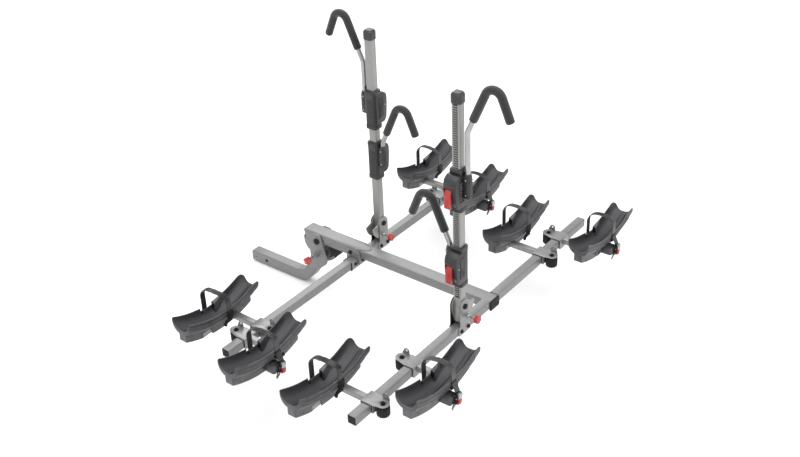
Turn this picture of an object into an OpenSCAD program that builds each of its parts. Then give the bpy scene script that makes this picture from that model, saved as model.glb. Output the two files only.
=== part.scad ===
// Hitch mounted bike rack: four bikes on two cross arms, eight sliding wheel trays,
// two folding masts with four sliding frame hooks, and a tilting centre spine.
// Origin: centre of the hitch pin hole. +X runs rearward, -Y is the near side, +Z is up.

/* [Parts] */
// Which part to show

/* [Hitch] */
// Side of the square shank
shank_w = 50.8; // [50:0.1:51]
// Radius of the hitch pin hole
pin_hole_r = 8.15; // [8:0.05:8.5]
// Distance from the pin hole to the shank's free end
shank_tail = 89; // [60:1:120]
// Height of the tilt pivot over the shank centre
pivot_z = 236; // [200:1:260]
// Distance of the tilt pivot behind the pin hole
pivot_x = 340; // [300:1:380]

/* [Frame] */
// Width of the centre spine
spine_w = 64; // [50:1:80]
// Height of the centre spine
spine_h = 46; // [40:1:60]
// Side of the square cross arms
arm_w = 38.1; // [30:0.1:45]
// Length of each cross arm
arm_len = 1577; // [1300:1:1700]
// Distance of the front arm behind the pin hole
front_x = 541; // [500:1:600]
// Distance of the rear arm behind the pin hole
rear_x = 1212; // [1100:1:1300]
// Height of the spine top over the shank centre
top_z = 272; // [240:1:300]

/* [Masts] */
// Mast size along X
mast_w = 35; // [28:0.5:40]
// Mast size along Y
mast_d = 33; // [24:0.5:40]
// Height of a mast over its arm, with the cap
mast_h = 968; // [800:1:1100]
// Place of the front mast along its arm
front_mast_y = 150; // [50:1:250]
// Place of the rear mast along its arm
rear_mast_y = -207; // [-250:1:-50]
// Height of the mast pivot over the arm
mast_pivot_h = 85; // [70:1:100]

/* [Hooks] */
// Radius of the foam grip
grip_r = 16; // [12:0.5:20]
// Radius of the steel rod
rod_r = 10; // [6:0.5:12]
// Distance of the rod from the mast axis
rod_x = 40; // [36:1:48]

/* [Trays] */
// Length of a wheel tray
tray_len = 384; // [340:2:450]
// Width of a wheel tray
tray_w = 94; // [80:1:110]
// Distance of a tray from its arm
tray_reach = 164; // [140:1:200]
// Width of the ladder strap
strap_w = 25; // [20:1:30]

/* [Hidden] */
$fn = 48;
silver = [0.66, 0.67, 0.68];
bright = [0.75, 0.76, 0.77];
plastic = [0.20, 0.19, 0.20];
black = [0.10, 0.10, 0.10];
foam = [0.22, 0.21, 0.21];
red = [0.80, 0.16, 0.13];
front_top = top_z - spine_h;
a2 = arm_w / 2;
s2 = spine_w / 2;
front_y0 = -805;
rear_y0 = -861;
seam_x = 567;
tray_rim = 410;
rim_z = 55;
tray_arc = 367;
floor_z = 4;
outer_arc = 485;
keel_arc = 450;
keel_w = 18;
skin = 3.2;
mast_corner = 4;
cuff_h = 172;
lean = 24;
tip_lean = 157;
rod_bend = 36;
bend_more = 0.06;
lap = 0.5;
hook_bend = 36;
hook_l1 = 124;
hook_l2 = 84;

// ---------- shapes used by several parts ----------

// rounded rectangle centred on the origin
module rrect(w, h, r) {
  union() {
    square([w - 2 * r, h], center = true);
    square([w, h - 2 * r], center = true);
    for (x = [-1, 1], y = [-1, 1]) translate([x * (w / 2 - r), y * (h / 2 - r)]) circle(r);
  }
}
// rounded square ring
module rring(w, h, r, t) {
  difference() {
    rrect(w, h, r);
    rrect(w - 2 * t, h - 2 * t, max(r - t, 0.8));
  }
}
// extrude a section along +X, section x to Y and section y to Z
module along_x(l) rotate([90, 0, 90]) linear_extrude(l) children();
// extrude a section along +Y, section x to X and section y to Z
module along_y(l) translate([0, l, 0]) rotate([90, 0, 0]) linear_extrude(l) children();
// a plate in the XZ plane, from y to y + t
module plate_xz(y, t) translate([0, y + t, 0]) rotate([90, 0, 0]) linear_extrude(t) children();
// a plate in the YZ plane, from x to x + t
module plate_yz(x, t) translate([x, 0, 0]) rotate([90, 0, 90]) linear_extrude(t) children();
// round bar along Y between two places
module bar_y(x, z, y0, y1, r) translate([x, y1, z]) rotate([90, 0, 0]) cylinder(r = r, h = y1 - y0);
// round bar along X between two places
module bar_x(y, z, x0, x1, r) translate([x0, y, z]) rotate([0, 90, 0]) cylinder(r = r, h = x1 - x0);
// hexagon bar along X
module hex_x(y, z, x0, x1, r) translate([x0, y, z]) rotate([0, 90, 0]) cylinder(r = r, h = x1 - x0, $fn = 6);
// hexagon bar along Y
module hex_y(x, z, y0, y1, r) translate([x, y1, z]) rotate([90, 0, 0]) cylinder(r = r, h = y1 - y0, $fn = 6);

// ---------- hitch ----------

module shank_tube() {
  w = shank_w;
  translate([-shank_tail, 0, 0]) along_x(shank_tail + 182) rring(w, w, 6, 5);
  translate([182, 0, 100]) rotate([90, 90, 0]) rotate_extrude(angle = 60, $fn = 96)
    translate([100, 0]) rring(w, w, 6, 5);
  translate([182 + 100 * sin(60), 0, 50]) rotate([0, -60, 0]) along_x(99) rring(w, w, 6, 5);
}
module ear_outline() {
  difference() {
    union() {
      polygon([[310, 262], [318, 271], [354, 271], [364, 262], [392, 150], [385, 131], [350, 100],
        [296, 76], [272, 98], [298, 150], [292, 196], [298, 232]]);
    }
    translate([pivot_x, pivot_z]) circle(9.05);
    translate([336, 168]) circle(6.3);
  }
}
module hitch_shank() {
  color(silver) difference() {
    union() {
      shank_tube();
      for (y = [-39.3, 32.8]) plate_xz(y, 6.5) ear_outline();
      for (y = [-32.8, 25.4]) translate([0, y, 0])
        translate([268.6, 0, 50]) rotate([0, -60, 0]) translate([36, 0, -16]) cube([56, 7.4, 32]);
      // pull pin barrel on the near ear
      bar_y(336, 168, -58, -39.3, 12);
    }
    bar_y(0, 0, -40, 40, pin_hole_r);
    bar_y(-65, 0, -40, -10, 3.2);
    bar_y(336, 168, -60, -30, 6.3);
    bar_y(336, 168, 30, 60, 6.3);
  }
  color(black) {
    bar_y(pivot_x, pivot_z, -39.3, 39.3, 9);
    bar_y(pivot_x, pivot_z, -48, -39.3, 14);
    bar_y(pivot_x, pivot_z, 39.3, 43, 15);
    hex_y(pivot_x, pivot_z, 43, 54, 13);
    bar_y(366, 250, 39.3, 48, 9);
  }
}
module tilt_lock_pin() {
  color(bright) {
    bar_y(336, 168, -92, -33.2, 6.2);
    bar_y(336, 168, -63, -58.3, 9);
  }
  color(red) {
    bar_y(336, 168, -112, -92, 13);
    for (a = [0 : 72 : 288]) bar_y(336 + 11 * sin(a), 168 + 11 * cos(a), -110, -94, 7);
  }
}

// ---------- frame ----------

module spine_sleeve() {
  color(silver) difference() {
    union() {
      difference() {
        translate([262, 0, top_z - spine_h / 2]) along_x(seam_x - 262) rring(spine_w, spine_h, 5, 2.4);
        // front end slopes back under the nose
        translate([262, 0, top_z - spine_h]) rotate([0, 38, 0]) cube([60, 80, 40], center = true);
      }
      // index cheeks that the lock pin meets
      for (y = [-s2 + 0.2, s2 - 5.2]) plate_xz(y, 5) difference() {
        intersection() {
          translate([pivot_x, pivot_z]) circle(80, $fn = 96);
          polygon([[250, 262], [360, 262], [376, 226], [366, 150], [250, 150]]);
        }
        translate([273, 236]) circle(6.3);
        translate([336, 168]) circle(6.3);
      }
      // stop block under the sleeve
      translate([396, -26, 172]) difference() {
        cube([64, 52, front_top - 172 + 2]);
        translate([-1, -1, -1]) cube([8, 60, 20]);
        translate([40, -1, -8]) rotate([0, -32, 0]) cube([60, 60, 30]);
      }
    }
    bar_y(pivot_x, pivot_z, -40, 40, 9.05);
    bar_y(273, 236, -40, 40, 6.3);
    bar_y(528, 249, -40, 40, 5);
  }
}
module rear_frame() {
  color(silver) {
    difference() {
      translate([400, 0, top_z - spine_h / 2]) along_x(rear_x + a2 - 400) rring(59, 41, 4, 3);
      bar_y(528, 249, -40, 40, 5);
    }
    translate([rear_x, rear_y0, top_z - a2]) along_y(-29.5 - rear_y0) rring(arm_w, arm_w, 5, 2.6);
    translate([rear_x, 29.5, top_z - a2]) along_y(rear_y0 + arm_len - 29.5) rring(arm_w, arm_w, 5, 2.6);
  }
}
module front_arm() {
  color(silver) difference() {
    translate([front_x, front_y0, front_top - a2]) along_y(arm_len) rring(arm_w, arm_w, 5, 2.6);
    bar_x(0, front_top - a2, front_x - 40, front_x + 40, 4.05);
  }
}
module end_caps() {
  color(black) {
    i = arm_w - 5.3;
    for (y = [front_y0 - 1.2, front_y0 + arm_len - 14]) translate([front_x, y, front_top - a2])
      along_y(15.2) rrect(i, i, 3);
    for (y = [rear_y0 - 1.2, rear_y0 + arm_len - 14]) translate([rear_x, y, top_z - a2])
      along_y(15.2) rrect(i, i, 3);
    translate([rear_x + a2 + 0.1, 0, top_z - spine_h / 2 - 1]) along_x(6) rrect(spine_w, spine_h, 6);
    translate([rear_x + a2 - 18, 0, top_z - spine_h / 2]) along_x(18.2) rrect(52.6, 34.6, 2.4);
  }
}
module front_saddle() {
  g = a2 + 0.3;
  color(silver) {
    // folded cradle round the front arm
    difference() {
      translate([front_x, -72, front_top - a2 - 1.6]) along_y(144) rrect(2 * g + 7, arm_w + 4, 4);
      translate([front_x, -80, front_top - a2 + 1]) along_y(160) rrect(2 * g, arm_w + 2.5, 1.2);
      translate([front_x - 40, -80, front_top - 0.2]) cube([80, 160, 10]);
      bar_x(0, front_top - a2, front_x - 40, front_x + 40, 4.05);
    }
    // side cheeks bolted to the spine
    for (y = [-s2 - 4.2, s2 + 0.2]) plate_xz(y, 4) difference() {
      union() {
        translate([front_x - 36, front_top + 0.4]) square([72, 38]);
        translate([front_x - 23, front_top + 0.4]) square([46, 1]);
      }
      translate([528, 249]) circle(5);
    }
    for (y = [-s2 - 4.2, s2 + 0.2], x = [-36, 22.4]) translate([front_x + x, y, front_top - 26])
      cube([13.6, 4, 27]);
  }
  color(black) {
    bar_y(528, 249, -s2 - 4.4, s2 + 4.4, 4.9);
    bar_y(528, 249, -s2 - 12, -s2 - 4.2, 9);
    hex_y(528, 249, s2 + 4.2, s2 + 12, 9);
    bar_x(0, front_top - a2, front_x - 34, front_x + 34, 4);
    hex_x(0, front_top - a2, front_x + 22.9, front_x + 31, 8);
    hex_x(0, front_top - a2, front_x - 31, front_x - 22.9, 8);
    for (y = [-73.6, 72.1]) difference() {
      translate([front_x, y, front_top - a2 - 1.6]) along_y(1.5) rrect(2 * g + 9, arm_w + 6, 5);
      translate([front_x, y - 1, front_top - a2 + 1]) along_y(4) rrect(2 * g, arm_w + 2.5, 1.2);
      translate([front_x - 40, y - 1, front_top]) cube([80, 4, 10]);
    }
  }
}

// ---------- mast feet and masts ----------

// outline of a foot plate, origin on the arm top under the mast
module foot_outline(w) {
  difference() {
    union() {
      translate([-w / 2, -arm_w]) square([w, arm_w + mast_pivot_h]);
      translate([0, mast_pivot_h]) circle(w / 2);
      translate([-w / 2 - 8, -arm_w]) square([w + 16, 34]);
    }
    translate([0, mast_pivot_h]) circle(6.05);
    translate([12, 36]) circle(5.3);
  }
}
module mast_bracket(x, y, z, fold) {
  translate([x, y, z]) mirror([0, fold > 0 ? 0 : 1, 0]) {
    color(silver) plate_yz(a2 + 0.1, 4) foot_outline(58);
    color(black) plate_yz(-a2 - 5.1, 5) foot_outline(62);
    color(black) {
      bar_x(0, mast_pivot_h, -a2 - 5.1, a2 + 4.1, 6);
      bar_x(0, mast_pivot_h, a2 + 4.1, a2 + 12, 11);
      hex_x(0, mast_pivot_h, -a2 - 14, -a2 - 5.1, 10);
      for (s = [-22, 22]) {
        hex_x(s, -20, a2 + 4.1, a2 + 10, 7);
        hex_x(s, -20, -a2 - 11, -a2 - 5.1, 7);
      }
    }
    // pull pin barrel
    color(bright) difference() {
      bar_x(12, 36, a2 + 4.1, a2 + 20, 9);
      bar_x(12, 36, a2, a2 + 22, 5.3);
    }
  }
}
module mast_brackets() {
  mast_bracket(front_x, front_mast_y, front_top, -1);
  mast_bracket(rear_x, rear_mast_y, top_z, 1);
}
module mast_pin(x, y, z, fold) {
  translate([x, y, z]) mirror([0, fold > 0 ? 0 : 1, 0]) {
    color(bright) bar_x(12, 36, a2 - 0.1, a2 + 44, 5.2);
    color(red) {
      bar_x(12, 36, a2 + 44, a2 + 62, 12);
      for (a = [0 : 60 : 300]) bar_x(12 + 10 * sin(a), 36 + 10 * cos(a), a2 + 45, a2 + 61, 5);
    }
  }
}
module front_mast_pin() mast_pin(front_x, front_mast_y, front_top, -1);
module rear_mast_pin() mast_pin(rear_x, rear_mast_y, top_z, 1);

// one mast, origin on the arm top, its teeth on the side it folds away from
module mast(x, y, z, fold) {
  translate([x, y, z]) mirror([0, fold > 0 ? 0 : 1, 0]) {
    color(bright) difference() {
      union() {
        translate([0, 0, 12]) linear_extrude(mast_h - 52) rring(mast_w, mast_d, mast_corner, 2.5);
        translate([0, -mast_d / 2 + 0.4, 0]) rotate([0, -90, 0]) translate([0, 0, -8]) linear_extrude(16)
          polygon(concat([[134, 0]], [for (i = [0 : 87]) each [[134 + i * 9, 0], [134 + i * 9, -1.7],
            [141 + i * 9, -0.5]]], [[934, 0], [934, 1.2], [134, 1.2]]));
        // quadrant cheeks of the foot
        for (s = [-18.7, 16]) plate_yz(s, 2.7) union() {
          translate([0, mast_pivot_h]) circle(30);
          translate([-14, 14]) square([28, mast_pivot_h - 14]);
          intersection() {
            translate([0, mast_pivot_h]) circle(70, $fn = 96);
            polygon([[0, mast_pivot_h], [-8, 0], [44, 20], [70, mast_pivot_h - 6], [30, mast_pivot_h + 6]]);
          }
        }
      }
      bar_x(0, mast_pivot_h, -30, 30, 6.05);
      bar_x(12, 36, -30, 30, 5.3);
    }
    color(black) {
      translate([0, 0, mast_h - 40.2]) difference() {
        union() {
          linear_extrude(34) rrect(mast_w + 9, mast_d + 9, 7);
          translate([0, 0, 34]) linear_extrude(6) rrect(mast_w + 3, mast_d + 3, 6);
        }
        translate([0, 0, -1]) linear_extrude(1.2) rrect(mast_w + 0.2, mast_d + 0.2, mast_corner);
      }
    }
  }
}
module front_mast() mast(front_x, front_mast_y, front_top, -1);
module rear_mast() mast(rear_x, rear_mast_y, top_z, 1);

// ---------- sliders, levers, rods and grips ----------
// h is the hook side along X, v the lever side along Y, cuff bottom at z = 0

module slider(x, y, z, h, v) {
  translate([x, y, z]) color(plastic) difference() {
    union() {
      linear_extrude(cuff_h) rrect(50, 47, 8);
      translate([0, 0, 6]) linear_extrude(12) rrect(53, 50, 9);
      translate([0, 0, cuff_h - 18]) linear_extrude(12) rrect(53, 50, 9);
      // clip that holds the rod
      translate([h * rod_x, 0, 62]) linear_extrude(88) rrect(29, 29, 8);
      translate([h * 31, 0, 62]) linear_extrude(88) square([14, 28], center = true);
      // housing cheeks beside the lever
      for (s = [-15.5, 11.5]) plate_yz(s, 4) mirror([v > 0 ? 0 : 1, 0])
        polygon([[20, 60], [30, 44], [44, 52], [54, 80], [52, 108], [42, 122], [20, 128]]);
      // roof over the lever
      plate_yz(-15.5, 31) mirror([v > 0 ? 0 : 1, 0])
        polygon([[20, 118], [40, 110], [50, 106], [50, 112], [42, 121], [20, 128]]);
    }
    translate([0, 0, -1]) linear_extrude(cuff_h + 2) rrect(mast_w + 0.6, mast_d + 0.6, mast_corner);
    translate([0, v * (mast_d / 2 + 0.4), -1]) linear_extrude(cuff_h + 2) square([18, 4.2], center = true);
    translate([h * rod_x, 0, 61]) cylinder(r = rod_r + 0.05, h = 90);
    // ribs on the faces away from the rod
    for (i = [0 : 9]) translate([-h * 25 - 1.2, -15, 30 + i * 10]) cube([2.4, 30, 5]);
    for (i = [0 : 9]) translate([-15, -v * 23.5 - 1.2, 30 + i * 10]) cube([30, 2.4, 5]);
    // pivot pin of the lever
    bar_x(v * 40, 96, -16, 16, 2.55);
  }
}
module lever(x, y, z, v) {
  translate([x, y, z]) color(red) {
    plate_yz(-11, 22) mirror([v > 0 ? 0 : 1, 0])
      polygon([[33, 88], [35, 98], [41, 103], [48, 98], [64, 34], [66, 14], [58, 8], [51, 14], [48, 40],
        [36, 70]]);
    bar_x(v * 40, 96, -15.4, 15.4, 2.5);
  }
}
// an arc of round bar in the XY plane, from angle a over s degrees
module bar_arc(rad, a, s, r) rotate([0, 0, a]) rotate_extrude(angle = s, $fn = 72)
  translate([rad, 0]) circle(r);
// the hook from its grip's start: first length, top bend and tip, with r outside
module hook_path(h, zg, r, back, extra) {
  cx = hook_l1 * sin(lean) + hook_bend * cos(lean);
  cz = hook_l1 * cos(lean) - hook_bend * sin(lean);
  mirror([h > 0 ? 0 : 1, 0, 0]) translate([62, 0, zg]) {
    rotate([0, lean, 0]) translate([0, 0, -back]) cylinder(r = r, h = hook_l1 + back + lap);
    translate([cx, 0, cz]) rotate([90, 0, 0])
      bar_arc(hook_bend, 180 - tip_lean, tip_lean - lean, r + bend_more);
    translate([cx - hook_bend * cos(tip_lean), 0, cz + hook_bend * sin(tip_lean)])
      rotate([0, tip_lean, 0]) translate([0, 0, -lap]) cylinder(r = r, h = hook_l2 + extra + lap);
  }
}
// the whole rod: upright from zb, bend away from the mast, then the hook
module rod(x, y, z, h, zg, zb) translate([x, y, z]) color(bright) {
  side = 62 - rod_x;
  zt = zg - side / tan(lean) - rod_bend * tan(lean / 2);
  translate([h * rod_x, 0, zb]) cylinder(r = rod_r, h = zt - zb + lap);
  mirror([h > 0 ? 0 : 1, 0, 0]) translate([rod_x + rod_bend, 0, zt]) rotate([90, 0, 0])
    bar_arc(rod_bend, 180 - lean, lean, rod_r + bend_more);
  hook_path(h, zg, rod_r, side / sin(lean) - rod_bend * tan(lean / 2) + lap, 0);
}
module grip(x, y, z, h, zg) translate([x, y, z]) color(foam) difference() {
  hook_path(h, zg, grip_r, 0, 6);
  hook_path(h, zg, rod_r + 0.05, 1, 0.5);
}
fx = front_x;
fy = front_mast_y;
fz = front_top;
module front_upper_slider() slider(fx, fy, fz + 538, -1, 1);
module front_upper_lever() lever(fx, fy, fz + 538, 1);
module front_upper_rod() rod(fx, fy, fz, -1, 870, 602);
module front_upper_grip() grip(fx, fy, fz, -1, 870);
module front_lower_slider() slider(fx, fy, fz + 306, 1, 1);
module front_lower_lever() lever(fx, fy, fz + 306, 1);
module front_lower_rod() rod(fx, fy, fz, 1, 525, 370);
module front_lower_grip() grip(fx, fy, fz, 1, 525);
rx = rear_x;
ry = rear_mast_y;
rz = top_z;
module rear_upper_slider() slider(rx, ry, rz + 504, 1, -1);
module rear_upper_lever() lever(rx, ry, rz + 504, -1);
module rear_upper_rod() rod(rx, ry, rz, 1, 874, 568);
module rear_upper_grip() grip(rx, ry, rz, 1, 874);
module rear_lower_slider() slider(rx, ry, rz + 180, -1, -1);
module rear_lower_lever() lever(rx, ry, rz + 180, -1);
module rear_lower_rod() rod(rx, ry, rz, -1, 388, 244);
module rear_lower_grip() grip(rx, ry, rz, -1, 388);

// ---------- wheel tray carriages ----------
// origin on the arm top, +X towards the tray, mirrored for the forward trays

module place(x, z, s, y) translate([x, y, z]) mirror([s > 0 ? 0 : 1, 0, 0]) children();

module carriage(x, z, s, y) place(x, z, s, y) {
  color(silver) {
    // folded plate over the arm
    translate([-24, -32, 1.2]) cube([49, 64, 3.5]);
    difference() {
      union() {
        translate([-51, 0, 1.2]) cylinder(r = 25, h = 3.5);
        translate([-51, -25, 1.2]) cube([29, 50, 3.5]);
      }
      translate([-51, 0, 0]) cylinder(r = 4.1, h = 8);
      translate([-51, 0, 3.5]) cylinder(r = 15, h = 4);
    }
    translate([21.2, -32, -40]) cube([3.8, 64, 42]);
    // upturned ear with a hole
    difference() {
      translate([-64, 25, 1.2]) rotate([90, 0, 0]) linear_extrude(3.5) union() {
        square([30, 18]);
        translate([18, 18]) circle(12);
      }
      translate([-46, 30, 21]) rotate([90, 0, 0]) cylinder(r = 4, h = 12);
    }
    // strut into the tray
    translate([25, 0, -9.7]) along_x(tray_reach - 25 + 30) rring(25.4, 25.4, 3, 2);
    // jaw that the clamp bolt pulls up
    translate([-25.2, -26, -40]) cube([3.8, 52, 36]);
  }
  color(black) {
    // liner between the plate and the arm
    translate([-21.1, -33.4, 0.2]) cube([42.2, 66.8, 0.9]);
    translate([19.6, -33.4, -38]) cube([1.5, 66.8, 38]);
    translate([-21.1, -27.4, -38]) cube([1.5, 54.8, 38]);
    bar = 4;
    translate([-51, 0, -46]) cylinder(r = bar, h = 51);
    translate([-51, 0, 3.6]) cylinder(r = 8, h = 5, $fn = 6);
  }
}
module knob(x, z, s, y) place(x, z, s, y) color(black) translate([-51, 0, -40]) {
  difference() {
    union() {
      translate([0, 0, 4]) cylinder(r = 21, h = 30);
      cylinder(r = 18, h = 4.1);
      for (a = [0 : 20 : 340]) rotate([0, 0, a]) translate([20.4, 0, 5]) cylinder(r = 2.4, h = 28);
    }
    translate([0, 0, -1]) cylinder(r = 4.06, h = 60);
    translate([0, 0, -1]) cylinder(r = 12, h = 3);
  }
}
// solid of a trough: w wide, its bottom on an arc that is lowest at z and has radius r
module trough(w, r, z) translate([0, 0, z + r]) rotate([0, 90, 0]) rotate([0, 0, -46])
  rotate_extrude(angle = 92, $fn = 160) difference() {
    translate([r - 90, 0]) rrect(180, w, w * 0.42);
    translate([r - 190, -w]) square([90, 2 * w]);
  }
// slab across a tray from y0 to y1
module slab(y0, y1) translate([-80, y0, -80]) cube([160, y1 - y0, 300]);
// keel under the tray, w half wide, its foot on a long arc that is lowest at z
module keel(w, y0, y1, z) intersection() {
  translate([-w, y0, -70]) cube([2 * w, y1 - y0, 110]);
  translate([-w - 1, 0, keel_arc + z]) rotate([0, 90, 0]) cylinder(r = keel_arc, h = 2 * w + 2, $fn = 160);
}
// rounded end of both walls: everything beyond it is cut away
module rim_corner(y, z, r, e) translate([-80, y, z]) rotate([90, 0, 90]) linear_extrude(160)
  difference() {
    translate([e > 0 ? 0 : -r - 20, 0]) square([r + 20, 90]);
    circle(r);
  }
module tray_body(x, z, s, y, yo) {
  // yo: where the strut crosses, from the tray's centre
  t2 = tray_len / 2;
  translate([x + s * tray_reach, y, z]) mirror([s > 0 ? 0 : 1, 0, 0]) difference() {
    union() {
      difference() {
        union() {
          intersection() {
            trough(tray_w, outer_arc, -2);
            slab(-t2, t2);
          }
          keel(keel_w, 1 - t2, 168, -37);
        }
        // hollow underside, open at the keel's foot
        difference() {
          union() {
            intersection() {
              trough(tray_w - 2 * skin, outer_arc - skin, skin - 2);
              slab(skin - t2, t2 - skin);
            }
            keel(keel_w - skin, 1 + skin - t2, 168 - skin, -60);
          }
          trough(tray_w, tray_arc + skin, floor_z - skin);
          translate([-60, -64, -2 + skin / 2]) cube([120, 128, 60]);
          translate([-30, yo - 17, -60]) cube([60, 34, 66]);
        }
      }
      // long ribs on the walls, level with the rim
      for (d = [15, 30]) intersection() {
        translate([-tray_w / 2 - 1.6, 8 - t2, 8]) cube([tray_w + 3.2, tray_len - 40, 90]);
        translate([-60, 0, tray_rim + rim_z]) rotate([0, 90, 0]) difference() {
          cylinder(r = tray_rim + d + 4, h = 120, $fn = 160);
          translate([0, 0, -1]) cylinder(r = tray_rim + d, h = 122, $fn = 160);
        }
      }
      // block that the buckle stands over
      translate([14, -27, -32]) cube([52, 42, 33.4]);
    }
    translate([26.6, -23.5, -40]) cube([36, 35, 38.7]);
    trough(tray_w - 2 * skin, tray_arc, floor_z);
    // rim
    translate([-80, 0, tray_rim + rim_z]) rotate([0, 90, 0]) cylinder(r = tray_rim, h = 160, $fn = 160);
    rim_corner(t2 - 26, 66, 26, 1);
    rim_corner(10 - t2, 91, 10, -1);
    // notch beside the strap, in the wall away from the tail end
    translate([-s * 49 - 11, -50, 40]) cube([22, 62, 60]);
    // gap in the keel
    translate([-30, -105, -50]) cube([28, 48, 46]);
    // channel for the strut
    translate([-80, yo - 13, -22.8]) cube([160, 26, 26]);
    // slots for the strap
    for (e = [-1, 1]) translate([e * (tray_w / 2 + 1.8) - 2, -strap_w / 2 - 0.6, 5])
      cube([4, strap_w + 1.2, 80]);
  }
}
module strap(x, z, s, y) {
  r = tray_w / 2 + 3.2;
  band = 2.8;
  translate([x + s * tray_reach, y, z]) mirror([s > 0 ? 0 : 1, 0, 0]) {
    color(black) {
      translate([0, strap_w / 2, 0]) rotate([90, 0, 0]) linear_extrude(strap_w) {
        difference() {
          union() {
            translate([0, 102]) circle(r, $fn = 96);
            translate([-r, 22]) square([2 * r, 80]);
          }
          translate([0, 102]) circle(r - band, $fn = 96);
          translate([-r + band, 0]) square([2 * r - 2 * band, 102]);
        }
        // out from the wall and down in front of the block
        polygon([[r - band, 36], [r, 36], [70, 7], [70, -18], [67.2, -18], [67.2, 6], [r - band, 31]]);
      }
      // ladder bars
      for (a = [-60 : 9 : 60]) translate([0, 0, 102]) rotate([0, a, 0])
        translate([-1.6, -strap_w / 2 + 3, r - 0.2]) cube([3.2, strap_w - 6, 1.2]);
      // hanging tail
      translate([67.5, -strap_w / 2 + 2, -58]) cube([2.2, strap_w - 4, 50]);
    }
    color(bright) translate([69.8, -11, -16]) cube([8.2, 28, 24]);
    color(red) translate([76, -6, -34]) cube([8, 20, 22]);
  }
}
// carriage and tray places: [arm x, arm top, side, carriage y, tray y]
P = [[front_x, front_top, -1, -612, -675], [front_x, front_top, 1, -692, -757],
  [rear_x, top_z, -1, -750, -794], [rear_x, top_z, 1, -506, -571],
  [front_x, front_top, -1, 680, 741], [front_x, front_top, 1, 598, 659],
  [rear_x, top_z, -1, 385, 452], [rear_x, top_z, 1, 530, 590]];
module car(i) carriage(P[i][0], P[i][1], P[i][2], P[i][3]);
module kn(i) knob(P[i][0], P[i][1], P[i][2], P[i][3]);
module tr(i) color(plastic) tray_body(P[i][0], P[i][1], P[i][2], P[i][4], P[i][3] - P[i][4]);
module st(i) strap(P[i][0], P[i][1], P[i][2], P[i][4]);
module carriage_1() car(0);
module knob_1() kn(0);
module tray_1() tr(0);
module strap_1() st(0);
module carriage_2() car(1);
module knob_2() kn(1);
module tray_2() tr(1);
module strap_2() st(1);
module carriage_3() car(2);
module knob_3() kn(2);
module tray_3() tr(2);
module strap_3() st(2);
module carriage_4() car(3);
module knob_4() kn(3);
module tray_4() tr(3);
module strap_4() st(3);
module carriage_5() car(4);
module knob_5() kn(4);
module tray_5() tr(4);
module strap_5() st(4);
module carriage_6() car(5);
module knob_6() kn(5);
module tray_6() tr(5);
module strap_6() st(5);
module carriage_7() car(6);
module knob_7() kn(6);
module tray_7() tr(6);
module strap_7() st(6);
module carriage_8() car(7);
module knob_8() kn(7);
module tray_8() tr(7);
module strap_8() st(7);

hitch_shank();
tilt_lock_pin();
spine_sleeve();
rear_frame();
front_arm();
end_caps();
front_saddle();
mast_brackets();
front_mast();
rear_mast();
front_mast_pin();
rear_mast_pin();
front_upper_slider();
front_upper_lever();
front_upper_rod();
front_upper_grip();
front_lower_slider();
front_lower_lever();
front_lower_rod();
front_lower_grip();
rear_upper_slider();
rear_upper_lever();
rear_upper_rod();
rear_upper_grip();
rear_lower_slider();
rear_lower_lever();
rear_lower_rod();
rear_lower_grip();
carriage_1();
knob_1();
tray_1();
strap_1();
carriage_2();
knob_2();
tray_2();
strap_2();
carriage_3();
knob_3();
tray_3();
strap_3();
carriage_4();
knob_4();
tray_4();
strap_4();
carriage_5();
knob_5();
tray_5();
strap_5();
carriage_6();
knob_6();
tray_6();
strap_6();
carriage_7();
knob_7();
tray_7();
strap_7();
carriage_8();
knob_8();
tray_8();
strap_8();
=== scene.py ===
import math

import bpy
import bmesh
from mathutils import Matrix, Vector
from mathutils.noise import noise


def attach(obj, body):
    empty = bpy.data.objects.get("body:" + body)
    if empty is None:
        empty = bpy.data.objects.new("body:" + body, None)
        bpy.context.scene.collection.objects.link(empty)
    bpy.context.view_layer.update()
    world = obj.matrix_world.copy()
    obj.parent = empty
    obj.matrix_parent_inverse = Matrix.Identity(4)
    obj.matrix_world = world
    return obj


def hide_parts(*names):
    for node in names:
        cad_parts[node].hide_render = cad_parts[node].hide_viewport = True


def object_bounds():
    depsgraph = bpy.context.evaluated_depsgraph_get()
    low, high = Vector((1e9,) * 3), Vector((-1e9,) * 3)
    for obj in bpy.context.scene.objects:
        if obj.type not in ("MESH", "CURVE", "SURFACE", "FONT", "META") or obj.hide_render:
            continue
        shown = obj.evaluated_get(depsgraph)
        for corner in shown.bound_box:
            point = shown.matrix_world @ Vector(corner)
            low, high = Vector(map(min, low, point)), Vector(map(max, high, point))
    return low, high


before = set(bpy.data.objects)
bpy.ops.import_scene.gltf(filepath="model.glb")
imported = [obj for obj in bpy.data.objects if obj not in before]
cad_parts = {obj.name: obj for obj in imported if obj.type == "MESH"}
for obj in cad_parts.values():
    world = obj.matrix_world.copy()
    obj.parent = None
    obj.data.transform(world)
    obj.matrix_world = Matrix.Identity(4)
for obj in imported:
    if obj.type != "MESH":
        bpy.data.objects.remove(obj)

cad_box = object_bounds()
# Sizes are in millimetres in the row frame. They become metres when a piece is made.
MM = 0.001
# degrees between two faces from which their edge is drawn sharp
SHARP = 38

# ---------- driving dimensions ----------
ARM = 38.1
TOP = 272.0
SPINE_W, SPINE_H = 64.0, 46.0
FRONT_X, REAR_X = 541.0, 1212.0
FRONT_TOP = TOP - SPINE_H
FRONT_ENDS, REAR_ENDS = (-805, 772), (-861, 716)
SHANK = 50.8
# x and z of the tilt bolt and of the tilt pin
PIVOT, TILT_PIN = (340.0, 236.0), (336, 168)
MAST_W, MAST_D, MAST_H = 35.0, 33.0, 968.0
PIVOT_H = 85.0
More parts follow.
